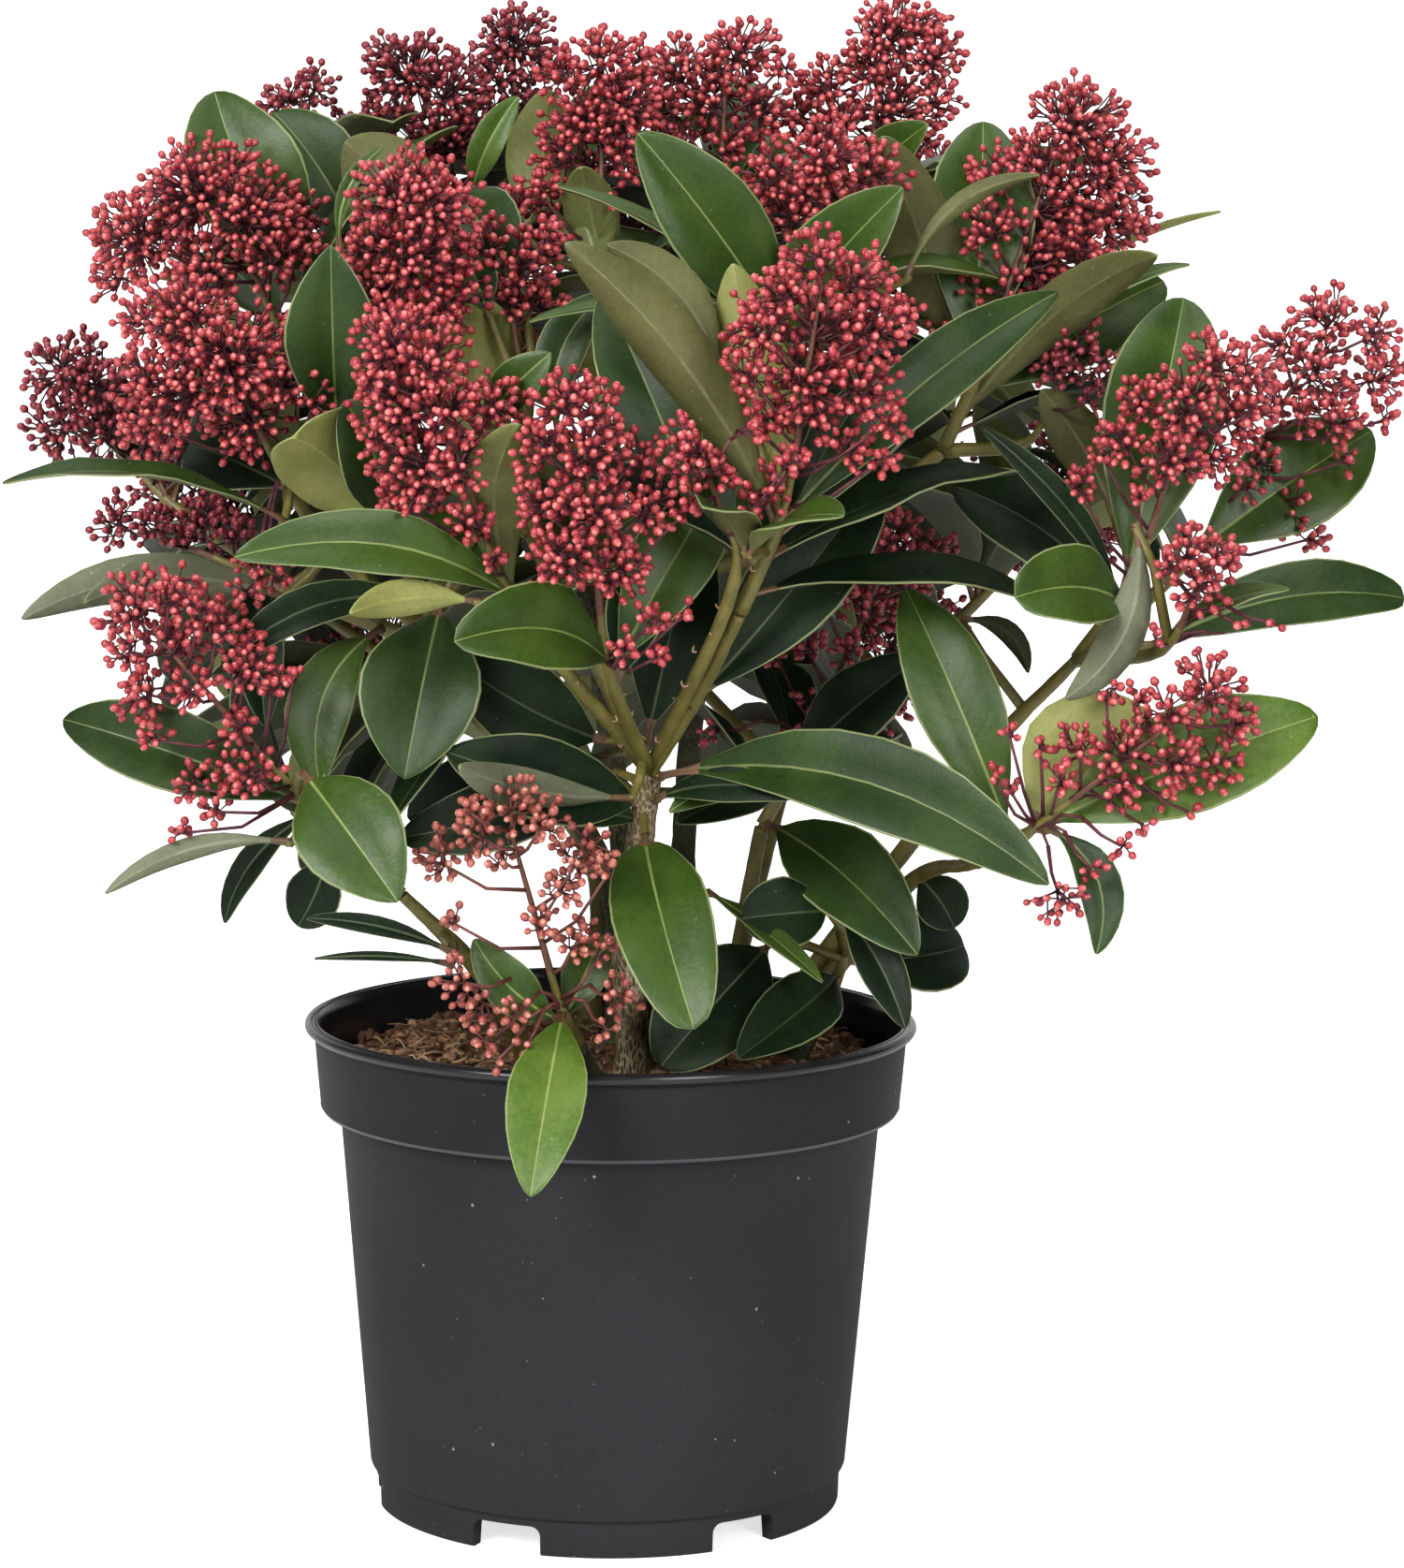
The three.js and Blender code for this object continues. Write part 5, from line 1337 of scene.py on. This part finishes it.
def make_pot():
    under_floor = FLOOR_TOP - WALL
    lip_radius = 1.7
    lip_at = (RIM_RADIUS - lip_radius, POT_HEIGHT - lip_radius)
    profile = [
        (0, 0), (PAD_RADIUS, 0), (PAD_RADIUS + 2, under_floor), (FOOT_RADIUS - 6, under_floor),
        (FOOT_RADIUS - 5, 0), (FOOT_RADIUS - 0.8, 0), (FOOT_RADIUS - 0.2, 0.3), (FOOT_RADIUS, 0.9),
        (FOOT_RADIUS + 0.3, FOOT_HEIGHT - 1.2), (FOOT_RADIUS + 0.9, FOOT_HEIGHT - 0.5),
        (BODY_FOOT_RADIUS - 0.3, FOOT_HEIGHT), (BODY_FOOT_RADIUS, FOOT_HEIGHT + 0.7),
        (mix(BODY_FOOT_RADIUS, BODY_TOP_RADIUS, 0.5), mix(FOOT_HEIGHT, COLLAR_FOOT, 0.5)),
        (BODY_TOP_RADIUS - 0.1, COLLAR_FOOT - 1.2), (BODY_TOP_RADIUS + 0.6, COLLAR_FOOT - 0.2),
        (COLLAR_FOOT_RADIUS - 1.6, COLLAR_FOOT), (COLLAR_FOOT_RADIUS - 0.5, COLLAR_FOOT + 0.5),
        (COLLAR_FOOT_RADIUS + 0.15, COLLAR_FOOT + 1.6), (COLLAR_FOOT_RADIUS + 0.1, COLLAR_FOOT + 2.4),
        (mix(COLLAR_FOOT_RADIUS, COLLAR_TOP_RADIUS, 0.5), mix(COLLAR_FOOT, POT_HEIGHT - 4.5, 0.5)),
        (COLLAR_TOP_RADIUS - 0.1, POT_HEIGHT - 5.6), (COLLAR_TOP_RADIUS - 0.1, POT_HEIGHT - 4.7),
        (COLLAR_TOP_RADIUS + 0.8, POT_HEIGHT - 4.1),
        *arc(*lip_at, lip_radius, -62, 100, 9),
        (COLLAR_TOP_RADIUS + 0.6, POT_HEIGHT - 0.7), (COLLAR_TOP_RADIUS, POT_HEIGHT - 0.6),
        (COLLAR_TOP_RADIUS - 0.3, POT_HEIGHT - 0.1), (COLLAR_TOP_RADIUS - 0.8, POT_HEIGHT - 0.2),
        (COLLAR_TOP_RADIUS - 1.6, POT_HEIGHT - 1.4),
        (COLLAR_TOP_RADIUS - WALL, POT_HEIGHT - 3.4),
        (COLLAR_FOOT_RADIUS - WALL, COLLAR_FOOT + 3), (inside_radius(COLLAR_FOOT), COLLAR_FOOT),
        (inside_radius(FLOOR_TOP), FLOOR_TOP), (0, FLOOR_TOP),
    ]
    pot = spin_profile("pot_shell", profile, 160)
    cut_notches(pot)
    # The collar is darker than the body, 0.6 against 0.85: painted shade for the leaves that hang over it.
    for material in (
            pot_material("pot_matt", 0.85, 0.58, 0.09, 0.10, True),
            pot_material("pot_lip", 0.5, 0.24, 0.42, 0.01, False),
            pot_material("pot_collar", 0.6, 0.52, 0.12, 0.10, True),
            pot_material("pot_seam", 2.2, 0.40, 0.3, 0.05, False)):
        pot.data.materials.append(material)
    lip_from = (POT_HEIGHT - 4.4) * MM
    for face in pot.data.polygons:
        out = math.hypot(face.center.x, face.center.y) / MM
        is_lip = face.center.z > lip_from
        is_inside = out < COLLAR_FOOT_RADIUS - 0.4 and face.center.z > (COLLAR_FOOT + 1) * MM
        is_collar = face.center.z > (COLLAR_FOOT + 0.3) * MM
        is_seam = is_collar and face.center.z < (COLLAR_FOOT + 1.4) * MM and out > COLLAR_FOOT_RADIUS - 1
        face.material_index = 1 if is_lip or is_inside else 3 if is_seam else 2 if is_collar else 0
    select_only(pot)
    bpy.ops.object.shade_smooth_by_angle(angle=math.radians(32))
    return finish_piece(pot, ["pot"])


def cut_notches(pot):
    """Six notches between the feet, each a block with two rounded upper edges."""
    blocks = []
    for i in range(FEET):
        select_none()
        bpy.ops.mesh.primitive_cube_add(size=1, location=(0, 0, 0))
        block = bpy.context.object
        block.name = f"notch_{i}"
        bpy.ops.object.mode_set(mode="EDIT")
        bpy.ops.transform.resize(value=(NOTCH_WIDTH * MM, 18 * MM, (NOTCH_HEIGHT + 4) * MM))
        middle = Vector((0, -(FOOT_RADIUS + 1) * MM, (NOTCH_HEIGHT - 4) / 2 * MM))
        bpy.ops.transform.translate(value=middle)
        bpy.ops.mesh.select_all(action="DESELECT")
        bpy.ops.object.mode_set(mode="OBJECT")
        for edge in block.data.edges:
            a, b = (block.data.vertices[v].co for v in edge.vertices)
            edge.select = abs(a.x - b.x) < MM and min(a.z, b.z) > 0
        bpy.ops.object.mode_set(mode="EDIT")
        bpy.ops.mesh.bevel(offset=3 * MM, segments=5, affect="EDGES")
        bpy.ops.mesh.select_all(action="SELECT")
        bpy.ops.object.mode_set(mode="OBJECT")
        turn = Matrix.Rotation(math.radians(FIRST_NOTCH + i * 360 / FEET), 4, "Z")
        block.data.transform(turn)
        blocks.append(block)
    select_none()
    for block in blocks:
        block.select_set(True)
    bpy.context.view_layer.objects.active = blocks[0]
    bpy.ops.object.join()
    cutter = bpy.context.object
    apply_modifier(pot, "BOOLEAN", operation="DIFFERENCE", object=cutter, solver="EXACT")
    bpy.data.objects.remove(cutter, do_unlink=True)


# ======== Soil ========
def procedural_texture(name, kind, size, **settings):
    texture = bpy.data.textures.new(name, kind)
    texture.noise_scale = size * MM
    for key, value in settings.items():
        setattr(texture, key, value)
    return texture


def displace(piece, texture, strength, **settings):
    apply_modifier(
        piece, "DISPLACE", texture=texture, strength=strength * MM, mid_level=0.5,
        texture_coords="LOCAL", **settings)


SOIL_EDGE = COLLAR_FOOT_RADIUS - WALL - 0.5
ROOT_TUFTS = [(-68, 16, 140), (-60, -5, 140), (-52, 5, 141), (-42, -16, 140), (62, -28, 141), (58, 20, 141)]
ROOTS_EACH = 9  # curly roots that come up out of the soil
CRUMB_COUNTS = ((0, 1500, 0.8, 2.6), (1, 1100, 0.6, 1.9), (2, 170, 0.4, 1.0))  # tone, how many, mm from, to
LOOSE_FIBRES = 420
CRUMB_TONES = {  # two colours, roughness and the depth of the grain
    "dark": (((0.050, 0.026, 0.014), (0.140, 0.075, 0.042)), 0.95, 0.5),
    "brown": (((0.200, 0.110, 0.058), (0.340, 0.200, 0.112)), 0.9, 0.5),
    "pale": (((0.300, 0.190, 0.100), (0.420, 0.300, 0.180)), 0.9, 0.4),
}


def make_soil():
    base = FLOOR_TOP + 0.4
    rings = [(r, SOIL_TOP + 1.2) for r in np.linspace(0, SOIL_EDGE - 6, 52)]
    profile = [
        (0, base), (inside_radius(base) - 0.4, base),
        (inside_radius(COLLAR_FOOT) - 0.5, COLLAR_FOOT - 0.5), (SOIL_EDGE, COLLAR_FOOT + 4),
        (SOIL_EDGE, SOIL_TOP - 4), (SOIL_EDGE - 3, SOIL_TOP - 1.5), *reversed(rings)]
    soil = spin_profile("soil_bed", profile, 150)
    lumps = procedural_texture("lumps", "CLOUDS", 9, noise_depth=3)
    crumbs = procedural_texture("crumbs", "CLOUDS", 2.2, noise_depth=4)
    top = soil.vertex_groups.new(name="top")
    top.add([v.index for v in soil.data.vertices if v.co.z > (SOIL_TOP - 3) * MM], 1.0, "REPLACE")
    for texture, strength in ((lumps, 7), (crumbs, 4)):
        displace(soil, texture, strength, direction="Z", vertex_group="top")
    soil.vertex_groups.clear()
    earth = patchy_material(
        "peat", ((0.040, 0.020, 0.011), (0.200, 0.115, 0.066)), 0.95, 260, 1500, 900, 1.2, 0.15)
    soil.data.materials.append(earth)
    select_only(soil)
    bpy.ops.object.shade_smooth()
    return finish_piece(soil, ["soil"])


def scattered_bits(soil):
    """Crumbs, chips and fibres that lie on the soil."""
    random = seeded_random(77)
    crumb_materials = [
        patchy_material("crumb_" + tone, colours, roughness, 300, 1500, 900, depth, 0.1)
        for tone, (colours, roughness, depth) in CRUMB_TONES.items()]
    tree = BVHTree.FromObject(soil, bpy.context.evaluated_depsgraph_get())

    def on_soil():
        out = (SOIL_EDGE - 4) * math.sqrt(random())
        turn = math.tau * random()
        x, y = out * math.cos(turn), out * math.sin(turn)
        hit = tree.ray_cast(Vector((x, y, 160)) * MM, Vector((0, 0, -1)))[0]
        return Vector((x, y, (hit.z / MM) if hit else SOIL_TOP))

    crumbs = Batch("soil_crumbs", crumb_materials, "soil")
    points, loops, sizes, kinds = lump_shape()
    for kind, count, low, high in CRUMB_COUNTS:
        matrices = []
        for _ in range(count):
            place = on_soil()
            size = mix(low, high, random() ** 2)
            spin = Matrix.Rotation(math.tau * random(), 4, "Z") @ Matrix.Rotation(math.tau * random(), 4, "X")
            scale = Matrix.Diagonal((size * mix(0.7, 1.9, random()), size, size * 0.8, 1))
            matrices.append(np.array(Matrix.Translation(place + UP * 0.3 * size) @ spin @ scale))
        crumbs.add_copies((points, loops, sizes, kinds + kind), np.array(matrices))
    crumbs.build(smooth=False)

    fibres = Batch("soil_fibres", crumb_materials, "soil")
    for tuft in ROOT_TUFTS:
        for _ in range(ROOTS_EACH):
            turn = math.tau * random()
            at = Vector(tuft) + Vector((math.cos(turn), math.sin(turn), 0)) * mix(0, 9, random())
            points = [at]
            for step in range(7):
                turn += mix(-0.2, 1.3, random())
                rise = mix(-1.2, 1.6, random()) if step < 4 else -1.6
                points.append(points[-1] + Vector((math.cos(turn) * 2.4, math.sin(turn) * 2.4, rise)))
            thick = mix(0.25, 0.6, random())
            radii = [thick * share for share in np.linspace(1, 0.5, 8)]
            add_tube(fibres, points, radii, 5, 1 + (random() < 0.4))
    for _ in range(LOOSE_FIBRES):
        here = on_soil() + UP * 0.5
        turn = math.tau * random()
        reach = mix(1.2, 3.2, random())
        points = [here]
        for _ in range(4):
            turn += mix(-0.9, 0.9, random())
            step = Vector((math.cos(turn), math.sin(turn), mix(-0.25, 0.3, random()))) * reach
            points.append(points[-1] + step)
        if max(math.hypot(p.x, p.y) for p in points) > SOIL_EDGE - 2:
            continue
        thick = mix(0.14, 0.34, random())
        kind = 1 if random() < 0.72 else 2
        add_tube(fibres, points, [thick, thick, thick * 0.9, thick * 0.8, thick * 0.5], 4, kind)
    fibres.build()


def lump_shape():
    """A crumb of twenty faces, pushed in and out."""
    select_none()
    bpy.ops.mesh.primitive_ico_sphere_add(subdivisions=1, radius=1)
    ball = bpy.context.object
    random = seeded_random(5)
    points = np.array([v.co * mix(0.7, 1.2, random()) for v in ball.data.vertices])
    loops = np.array([v for face in ball.data.polygons for v in face.vertices])
    sizes = np.array([len(face.vertices) for face in ball.data.polygons])
    bpy.data.objects.remove(ball, do_unlink=True)
    return points, loops, sizes, np.zeros(len(sizes), int)


# ======== Stems and boughs ========
# Smooth and olive, as the boughs are
YOUNG_STEMS = (
    "stem_left", "stem_right", "stem_right_high", "stem_inner", "stem_back_right", "stem_back_left")


def limb_curve(name, limbs, sides):
    """The limbs as one curve with a round section, turned into a mesh."""
    select_none()
    bpy.ops.curve.primitive_nurbs_path_add(location=(0, 0, 0))
    tube = bpy.context.object
    tube.name = tube.data.name = name
    curve = tube.data
    curve.splines.clear()
    curve.dimensions = "3D"
    curve.bevel_depth = MM
    curve.bevel_resolution = sides // 2 - 2
    curve.use_fill_caps = True
    for path, radii, parent in limbs:
        route = [path[0] - UP * 3, *path] if parent is None else path
        widths = [radii[0] * 1.05, *radii] if parent is None else radii
        fine = smooth_route(route, 3)
        spline = curve.splines.new("POLY")
        spline.points.add(len(fine) - 1)
        for i, (point, place) in enumerate(zip(spline.points, fine)):
            share = i / (len(fine) - 1) * (len(widths) - 1)
            low = min(int(share), len(widths) - 2)
            point.co = (*(place * MM), 1)
            point.radius = mix(widths[low], widths[low + 1], share - low)
    bpy.ops.object.convert(target="MESH")
    tube = bpy.context.object
    bpy.ops.object.mode_set(mode="EDIT")
    bpy.ops.mesh.select_all(action="SELECT")
    bpy.ops.mesh.remove_doubles(threshold=0.01 * MM)
    bpy.ops.mesh.normals_make_consistent(inside=False)
    bpy.ops.object.mode_set(mode="OBJECT")
    return tube


def make_stems(limbs):
    stems = {name: limb for name, limb in limbs.items() if limb[2] is None}
    boughs = {name: limb for name, limb in limbs.items() if limb[2]}
    furrows = procedural_texture("furrows", "CLOUDS", 3.0, noise_depth=3)
    knots = procedural_texture("knots", "CLOUDS", 9.0, noise_depth=1)
    bark = bark_material(
        "bark_brown", ((0.052, 0.040, 0.014), (0.125, 0.092, 0.040)), (0.46, 0.38, 0.25), 0.13)
    green_bark = bark_material(
        "bark_green", ((0.020, 0.023, 0.009), (0.052, 0.050, 0.020)), (0.12, 0.11, 0.065), 0.08)
    young_bark = patchy_material(
        "young_bark", ((0.088, 0.078, 0.015), (0.158, 0.128, 0.030)), 0.5, 120, 900, 700, 0.25, 0.4)
    front = {"stem_front": stems.pop("stem_front")}
    young = {name: stems.pop(name) for name in YOUNG_STEMS}
    # name, limbs, material, sides, depth of the knots and of the furrows in millimetres, slot
    for name, group, material, sides, knotty, furrowed, slot in (
            ("stem_front_bark", front, bark, 28, 0.9, 0.8, "stem"),
            ("stems_bark", stems, green_bark, 24, 0.9, 0.8, "stem"),
            ("young_stems_bark", young, young_bark, 20, 0.5, 0.25, "stem"),
            ("boughs_bark", boughs, young_bark, 20, 0.5, 0.25, "bough")):
        tube = limb_curve(name, group.values(), sides)
        displace(tube, knots, knotty)
        displace(tube, furrows, furrowed)
        tube.data.materials.append(material)
        select_only(tube)
        bpy.ops.object.shade_smooth()
        finish_piece(tube, list(group))


# ======== Twigs ========
TWIG_SHORT = 3  # steps by which the twig ends below the top of its flower head
RED_FROM = 3  # steps past the node where it turns from olive to reddish brown
SIDE_TWIG_RADII = (1.7, 1.5, 1.2, 0.8)
SIDE_TWIG_END = 1.5  # how far a side twig goes on into its leaf
SCAR_SPACE = 8  # from one leaf scar to the next up the twig
SCAR_FROM = 5
BARE_LENGTH = 14  # what a twig has above and below its scars
SCAR_HALF = 0.62  # radians from a scar's middle to its end
SCAR_DIP = 1.1
SCAR_RADII = (0.18, 0.34, 0.42, 0.42, 0.34, 0.18)


def make_twigs(shoots):
    young = patchy_material(
        "twig_olive", ((0.094, 0.084, 0.015), (0.168, 0.138, 0.032)), 0.45, 110, 900, 800, 0.15, 0.45)
    red = patchy_material(
        "twig_red", ((0.085, 0.032, 0.020), (0.145, 0.064, 0.036)), 0.5, 140, 900, 800, 0.15, 0.4)
    scar = patchy_material(
        "leaf_scar", ((0.290, 0.170, 0.095), (0.420, 0.270, 0.165)), 0.7, 300, 900, 900, 0.1, 0.3)
    twigs = Batch("twigs", [young, red, scar], "bough")
    sides = 8
    for shoot in shoots:
        route = shoot.route[:-TWIG_SHORT] if shoot.spread else shoot.route
        last = len(route) - 1
        at_node = len(shoot.route) // 3
        radii = [
            mix(TWIG_FOOT, TWIG_NODE, i / at_node) if i < at_node
            else mix(AXIS_FOOT, TWIG_TIP, (i - at_node) / (last - at_node)) for i in range(last + 1)]
        rings = tube_rings(route, radii, sides)
        kinds = [[0 if row < at_node + RED_FROM else 1] * sides for row in range(last)]
        twigs.add(*rings_shape(rings, kinds))
        twigs.nodes.add("shoot_" + shoot.name)
        add_scars(twigs, shoot)
    for shoot, foot, tip, way in side_twigs:
        if (tip - foot).length > TWIG_NODE:
            end = tip + way * SIDE_TWIG_END
            middle = foot.lerp(end, 0.55) - way * (0.12 * (end - foot).length)
            add_tube(twigs, [foot, middle, tip, end], SIDE_TWIG_RADII, sides)
    twigs.build()


def add_scars(twigs, shoot):
    """Crescent scars of fallen leaves, alternating up the twig below its whorl."""
    length = (shoot.node - shoot.start).length
    along = (shoot.node - shoot.start).normalized()
    right = along.orthogonal().normalized()
    ahead = along.cross(right)
    count = int((length - BARE_LENGTH) / SCAR_SPACE)
    for i in range(max(count, 0)):
        at = SCAR_FROM + i * SCAR_SPACE + 3 * shoot.extras()
        turn = i * math.radians(GOLDEN_ANGLE) + shoot.extras()
        centre = shoot.start + along * at
        radius = mix(TWIG_FOOT, TWIG_NODE, at / length) + 0.05
        points = []
        for step in range(len(SCAR_RADII)):
            angle = turn + mix(-SCAR_HALF, SCAR_HALF, step / 5)
            dip = -SCAR_DIP * (1 - ((step - 2.5) / 2.5) ** 2)
            out = right * math.cos(angle) + ahead * math.sin(angle)
            points.append(centre + out * radius + along * dip)
        add_tube(twigs, points, SCAR_RADII, 5, 2)


# ======== Putting the plant together ========
def leaf_batches():
    stalk = patchy_material(
        "leaf_stalk", ((0.090, 0.048, 0.022), (0.165, 0.088, 0.044)), 0.5, 120, 700, 900, 0.1)
    batches = {}
    for tone, colours in LEAF_TONES.items():
        rough, gloss = {"deep": (0.5, 0.14), "dark": (0.46, 0.26)}.get(tone, (0.42, 0.36))
        under = leaf_material("leaf_underside_" + tone, UNDERSIDES[tone], 0.6, 0.3, 0.1)
        upper = leaf_material("leaf_" + tone, colours, rough, gloss, 0.06)
        rib = patchy_material("leaf_rib_" + tone, RIB_TONES[tone], 0.5, 80, 700, 900, 0.05)
        edge = patchy_material("leaf_edge_" + tone, tuple(
            tuple(mix(c, e, 0.4) for c, e in zip(colour, (0.42, 0.46, 0.2))) for colour in colours),
            0.45, 80, 700, 900, 0.05)
        under_rib = patchy_material(
            "leaf_under_rib_" + tone, [[1.25 * c for c in colour] for colour in UNDERSIDES[tone]],
            0.5, 80, 700, 900, 0.05)
        batches[tone] = Batch("leaves_" + tone, [upper, rib, edge, under, stalk, under_rib], "foliage")
    return batches


def joined_tree(shapes):
    """One search tree of many shapes."""
    points = []
    faces = []
    for own_points, loops, sizes in shapes:
        first = len(points)
        points.extend(tuple(p) for p in own_points)
        start = 0
        for size in sizes:
            faces.append(tuple(first + int(i) for i in loops[start:start + size]))
            start += size
    return BVHTree.FromPolygons(points, faces)


def make_flowers(shoots):
    heads = Heads(joined_tree(leaf_faces), joined_tree(clear_faces))
    for shoot in shoots:
        grow_head(shoot, heads)
    shape = bud_shape()
    for tone, (colour, lit_top_colour, stalk_colour) in BUD_TONES.items():
        nodes = {"shoot_" + shoot.name for shoot in shoots if shoot.spread and shoot.bud_tone == tone}
        bark = patchy_material(
            "flower_stalk_" + tone, (stalk_colour, tuple(1.8 * c + 0.01 for c in stalk_colour)),
            0.55, 200, 900, 900, 0.08, 0.35)
        stalks = Batch("flower_stalks_" + tone, [bark], "bloom")
        stalks.nodes = nodes
        stalks.add_stalks(np.array(heads.branches[tone]), [1.25 * BRANCH, BRANCH, 0.8 * BRANCH], 5)
        stalks.add_stalks(np.array(heads.sprigs[tone]), [1.3 * SPRIG, SPRIG, SPRIG], 4)
        stalks.add_stalks(np.array(heads.stalks[tone]), [BUD_STALK, 1.5 * BUD_STALK], 3)
        stalks.build()
        # The bud's sides get 0.78 of its colour as painted shade, and its top the paler colour, partly its
        # own tip and partly a painted highlight.
        shaded_skin = patchy_material(
            "bud_" + tone, ([0.78 * c for c in colour], [mix(c, t, 0.3) for c, t in zip(colour, lit_top_colour)]),
            0.3, 250, 900, 900, 0.03)
        lit_cap = patchy_material(
            "bud_top_" + tone, ([mix(t, c, 0.45) for c, t in zip(colour, lit_top_colour)], lit_top_colour),
            0.28, 250, 900, 900, 0.03)
        buds = Batch("buds_" + tone, [shaded_skin, lit_cap], "bloom")
        buds.nodes = nodes
        places = np.array([b[0] for b in heads.buds[tone]])
        ways = np.array([b[1] for b in heads.buds[tone]])
        scale = np.array([b[2] for b in heads.buds[tone]])
        buds.add_copies(
            shape, facing(places - ways * (BUD_LENGTH / 2), ways, BUD_WIDTH * scale, BUD_LENGTH * scale))
        buds.build()


def make_plant():
    limbs = grow_limbs()
    limb_tips = {name: path[-1] for name, (path, _, _) in limbs.items()}
    shoots = [Shoot(i, limb_tips, row) for i, row in enumerate(SHOOTS)]
    for shoot in shoots:
        rings = tube_rings(shoot.route, [TWIG_NODE] * len(shoot.route), 5)
        points, loops, sizes, _ = rings_shape(rings, [[0] * 5] * (len(rings) - 1))
        crown.take(crown.shape_of(points, loops, sizes), shoot.name)
    batches = leaf_batches()
    for shoot in shoots:
        grow_known_leaves(shoot, batches)
    for shoot in shoots:
        grow_spare_leaves(shoot, batches)
    for batch in batches.values():
        batch.build()
    make_stems(limbs)
    make_twigs(shoots)
    make_flowers(shoots)


# ======== Studio ========
FLOOR_WIDTH = 6.0
FLOOR_FRONT = -2.4
FLOOR_BACK = 1.6
WALL_TOP = 3.0
COVE_RADIUS = 0.7
COVE_STEPS = 14
FLOOR_GLOW = 0.72  # the backdrop's own light, which doesn't fall on the plant
LIGHTS = (  # name, place, where it points, width and height, watts
    ("key", (-1.1, -1.75, 1.35), (0, 0, 0.28), (1.2, 1.0), 66),
    ("fill", (1.1, -1.9, 1.0), (0, 0, 0.28), (0.8, 1.0), 32),
    ("top", (0.1, -0.2, 2.1), (0, 0, 0.25), (1.2, 0.9), 12),
    ("backdrop", (0, 0.9, 2.4), (0, 2.3, 0.6), (3.0, 0.8), 20))
WORLD_LIGHT = 0.03


def make_camera():
    data = bpy.data.cameras.new("camera")
    data.sensor_fit = "VERTICAL"
    data.sensor_height = CAMERA_HEIGHT
    data.lens = CAMERA_LENS
    data.clip_start = 0.05
    camera = bpy.data.objects.new("camera", data)
    bpy.context.scene.collection.objects.link(camera)
    down = Matrix.Rotation(math.radians(90 - CAMERA_DOWN), 4, "X")
    roll = Matrix.Rotation(math.radians(CAMERA_ROLL), 4, "Z")
    camera.matrix_world = Matrix.Translation(Vector(CAMERA_PLACE) * MM) @ down @ roll
    bpy.context.scene.camera = camera


def make_floor():
    """A pale floor that curves up into a backdrop."""
    select_none()
    bpy.ops.mesh.primitive_plane_add(size=1, location=(0, 0, 0))
    floor = bpy.context.object
    floor.name = floor.data.name = "studio_floor"
    bpy.ops.object.mode_set(mode="EDIT")
    bpy.ops.transform.resize(value=(FLOOR_WIDTH, FLOOR_BACK - FLOOR_FRONT, 1))
    bpy.ops.transform.translate(value=(0, (FLOOR_BACK + FLOOR_FRONT) / 2, 0))
    bpy.ops.mesh.select_all(action="DESELECT")
    bpy.ops.object.mode_set(mode="OBJECT")
    for edge in floor.data.edges:
        edge.select = all(floor.data.vertices[v].co.y > FLOOR_BACK - 0.01 for v in edge.vertices)
    bpy.ops.object.mode_set(mode="EDIT")
    bpy.ops.mesh.select_mode(type="EDGE")
    for i in range(COVE_STEPS):
        low = math.pi / 2 * i / COVE_STEPS
        high = math.pi / 2 * (i + 1) / COVE_STEPS
        back = COVE_RADIUS * (math.sin(high) - math.sin(low))
        step = (0, back, COVE_RADIUS * (math.cos(low) - math.cos(high)))
        bpy.ops.mesh.extrude_region_move(TRANSFORM_OT_translate={"value": step})
    bpy.ops.mesh.extrude_region_move(TRANSFORM_OT_translate={"value": (0, 0, WALL_TOP)})
    bpy.ops.object.mode_set(mode="OBJECT")
    bpy.ops.object.shade_smooth()
    pale, tree, shader = start_material("studio_white", 0.9, 0.1)
    patches = place_group(
        tree, PATCHES, Colour=(0.86, 0.86, 0.86, 1), Other=(0.88, 0.88, 0.88, 1), Scale=3, Grain=40)
    tree.links.new(patches.outputs["Colour"], shader.inputs["Base Color"])
    light_path = add_node(tree, "ShaderNodeLightPath")
    glow = mix_colours(tree, light_path.outputs["Is Camera Ray"], (0, 0, 0, 1), (1, 1, 1, 1))
    tree.links.new(glow, shader.inputs["Emission Color"])
    shader.inputs["Emission Strength"].default_value = FLOOR_GLOW
    floor.data.materials.append(pale)


def add_light(name, place, target, size, power):
    data = bpy.data.lights.new(name, "AREA")
    data.shape = "RECTANGLE"
    data.size, data.size_y = size
    data.energy = power
    light = bpy.data.objects.new(name, data)
    bpy.context.scene.collection.objects.link(light)
    way = Vector(target) - Vector(place)
    light.matrix_world = Matrix.Translation(place) @ way.to_track_quat("-Z", "Y").to_matrix().to_4x4()


def make_lights():
    for light in LIGHTS:
        add_light(*light)
    world = bpy.data.worlds.new("studio")
    world.use_nodes = True
    background = world.node_tree.nodes["Background"]
    background.inputs["Color"].default_value = (1, 1, 1, 1)
    background.inputs["Strength"].default_value = WORLD_LIGHT
    bpy.context.scene.world = world
    bpy.context.scene.view_settings.view_transform = "Standard"


make_camera()
make_floor()
make_lights()
make_pot()
soil_bed = make_soil()
scattered_bits(soil_bed)
make_plant()
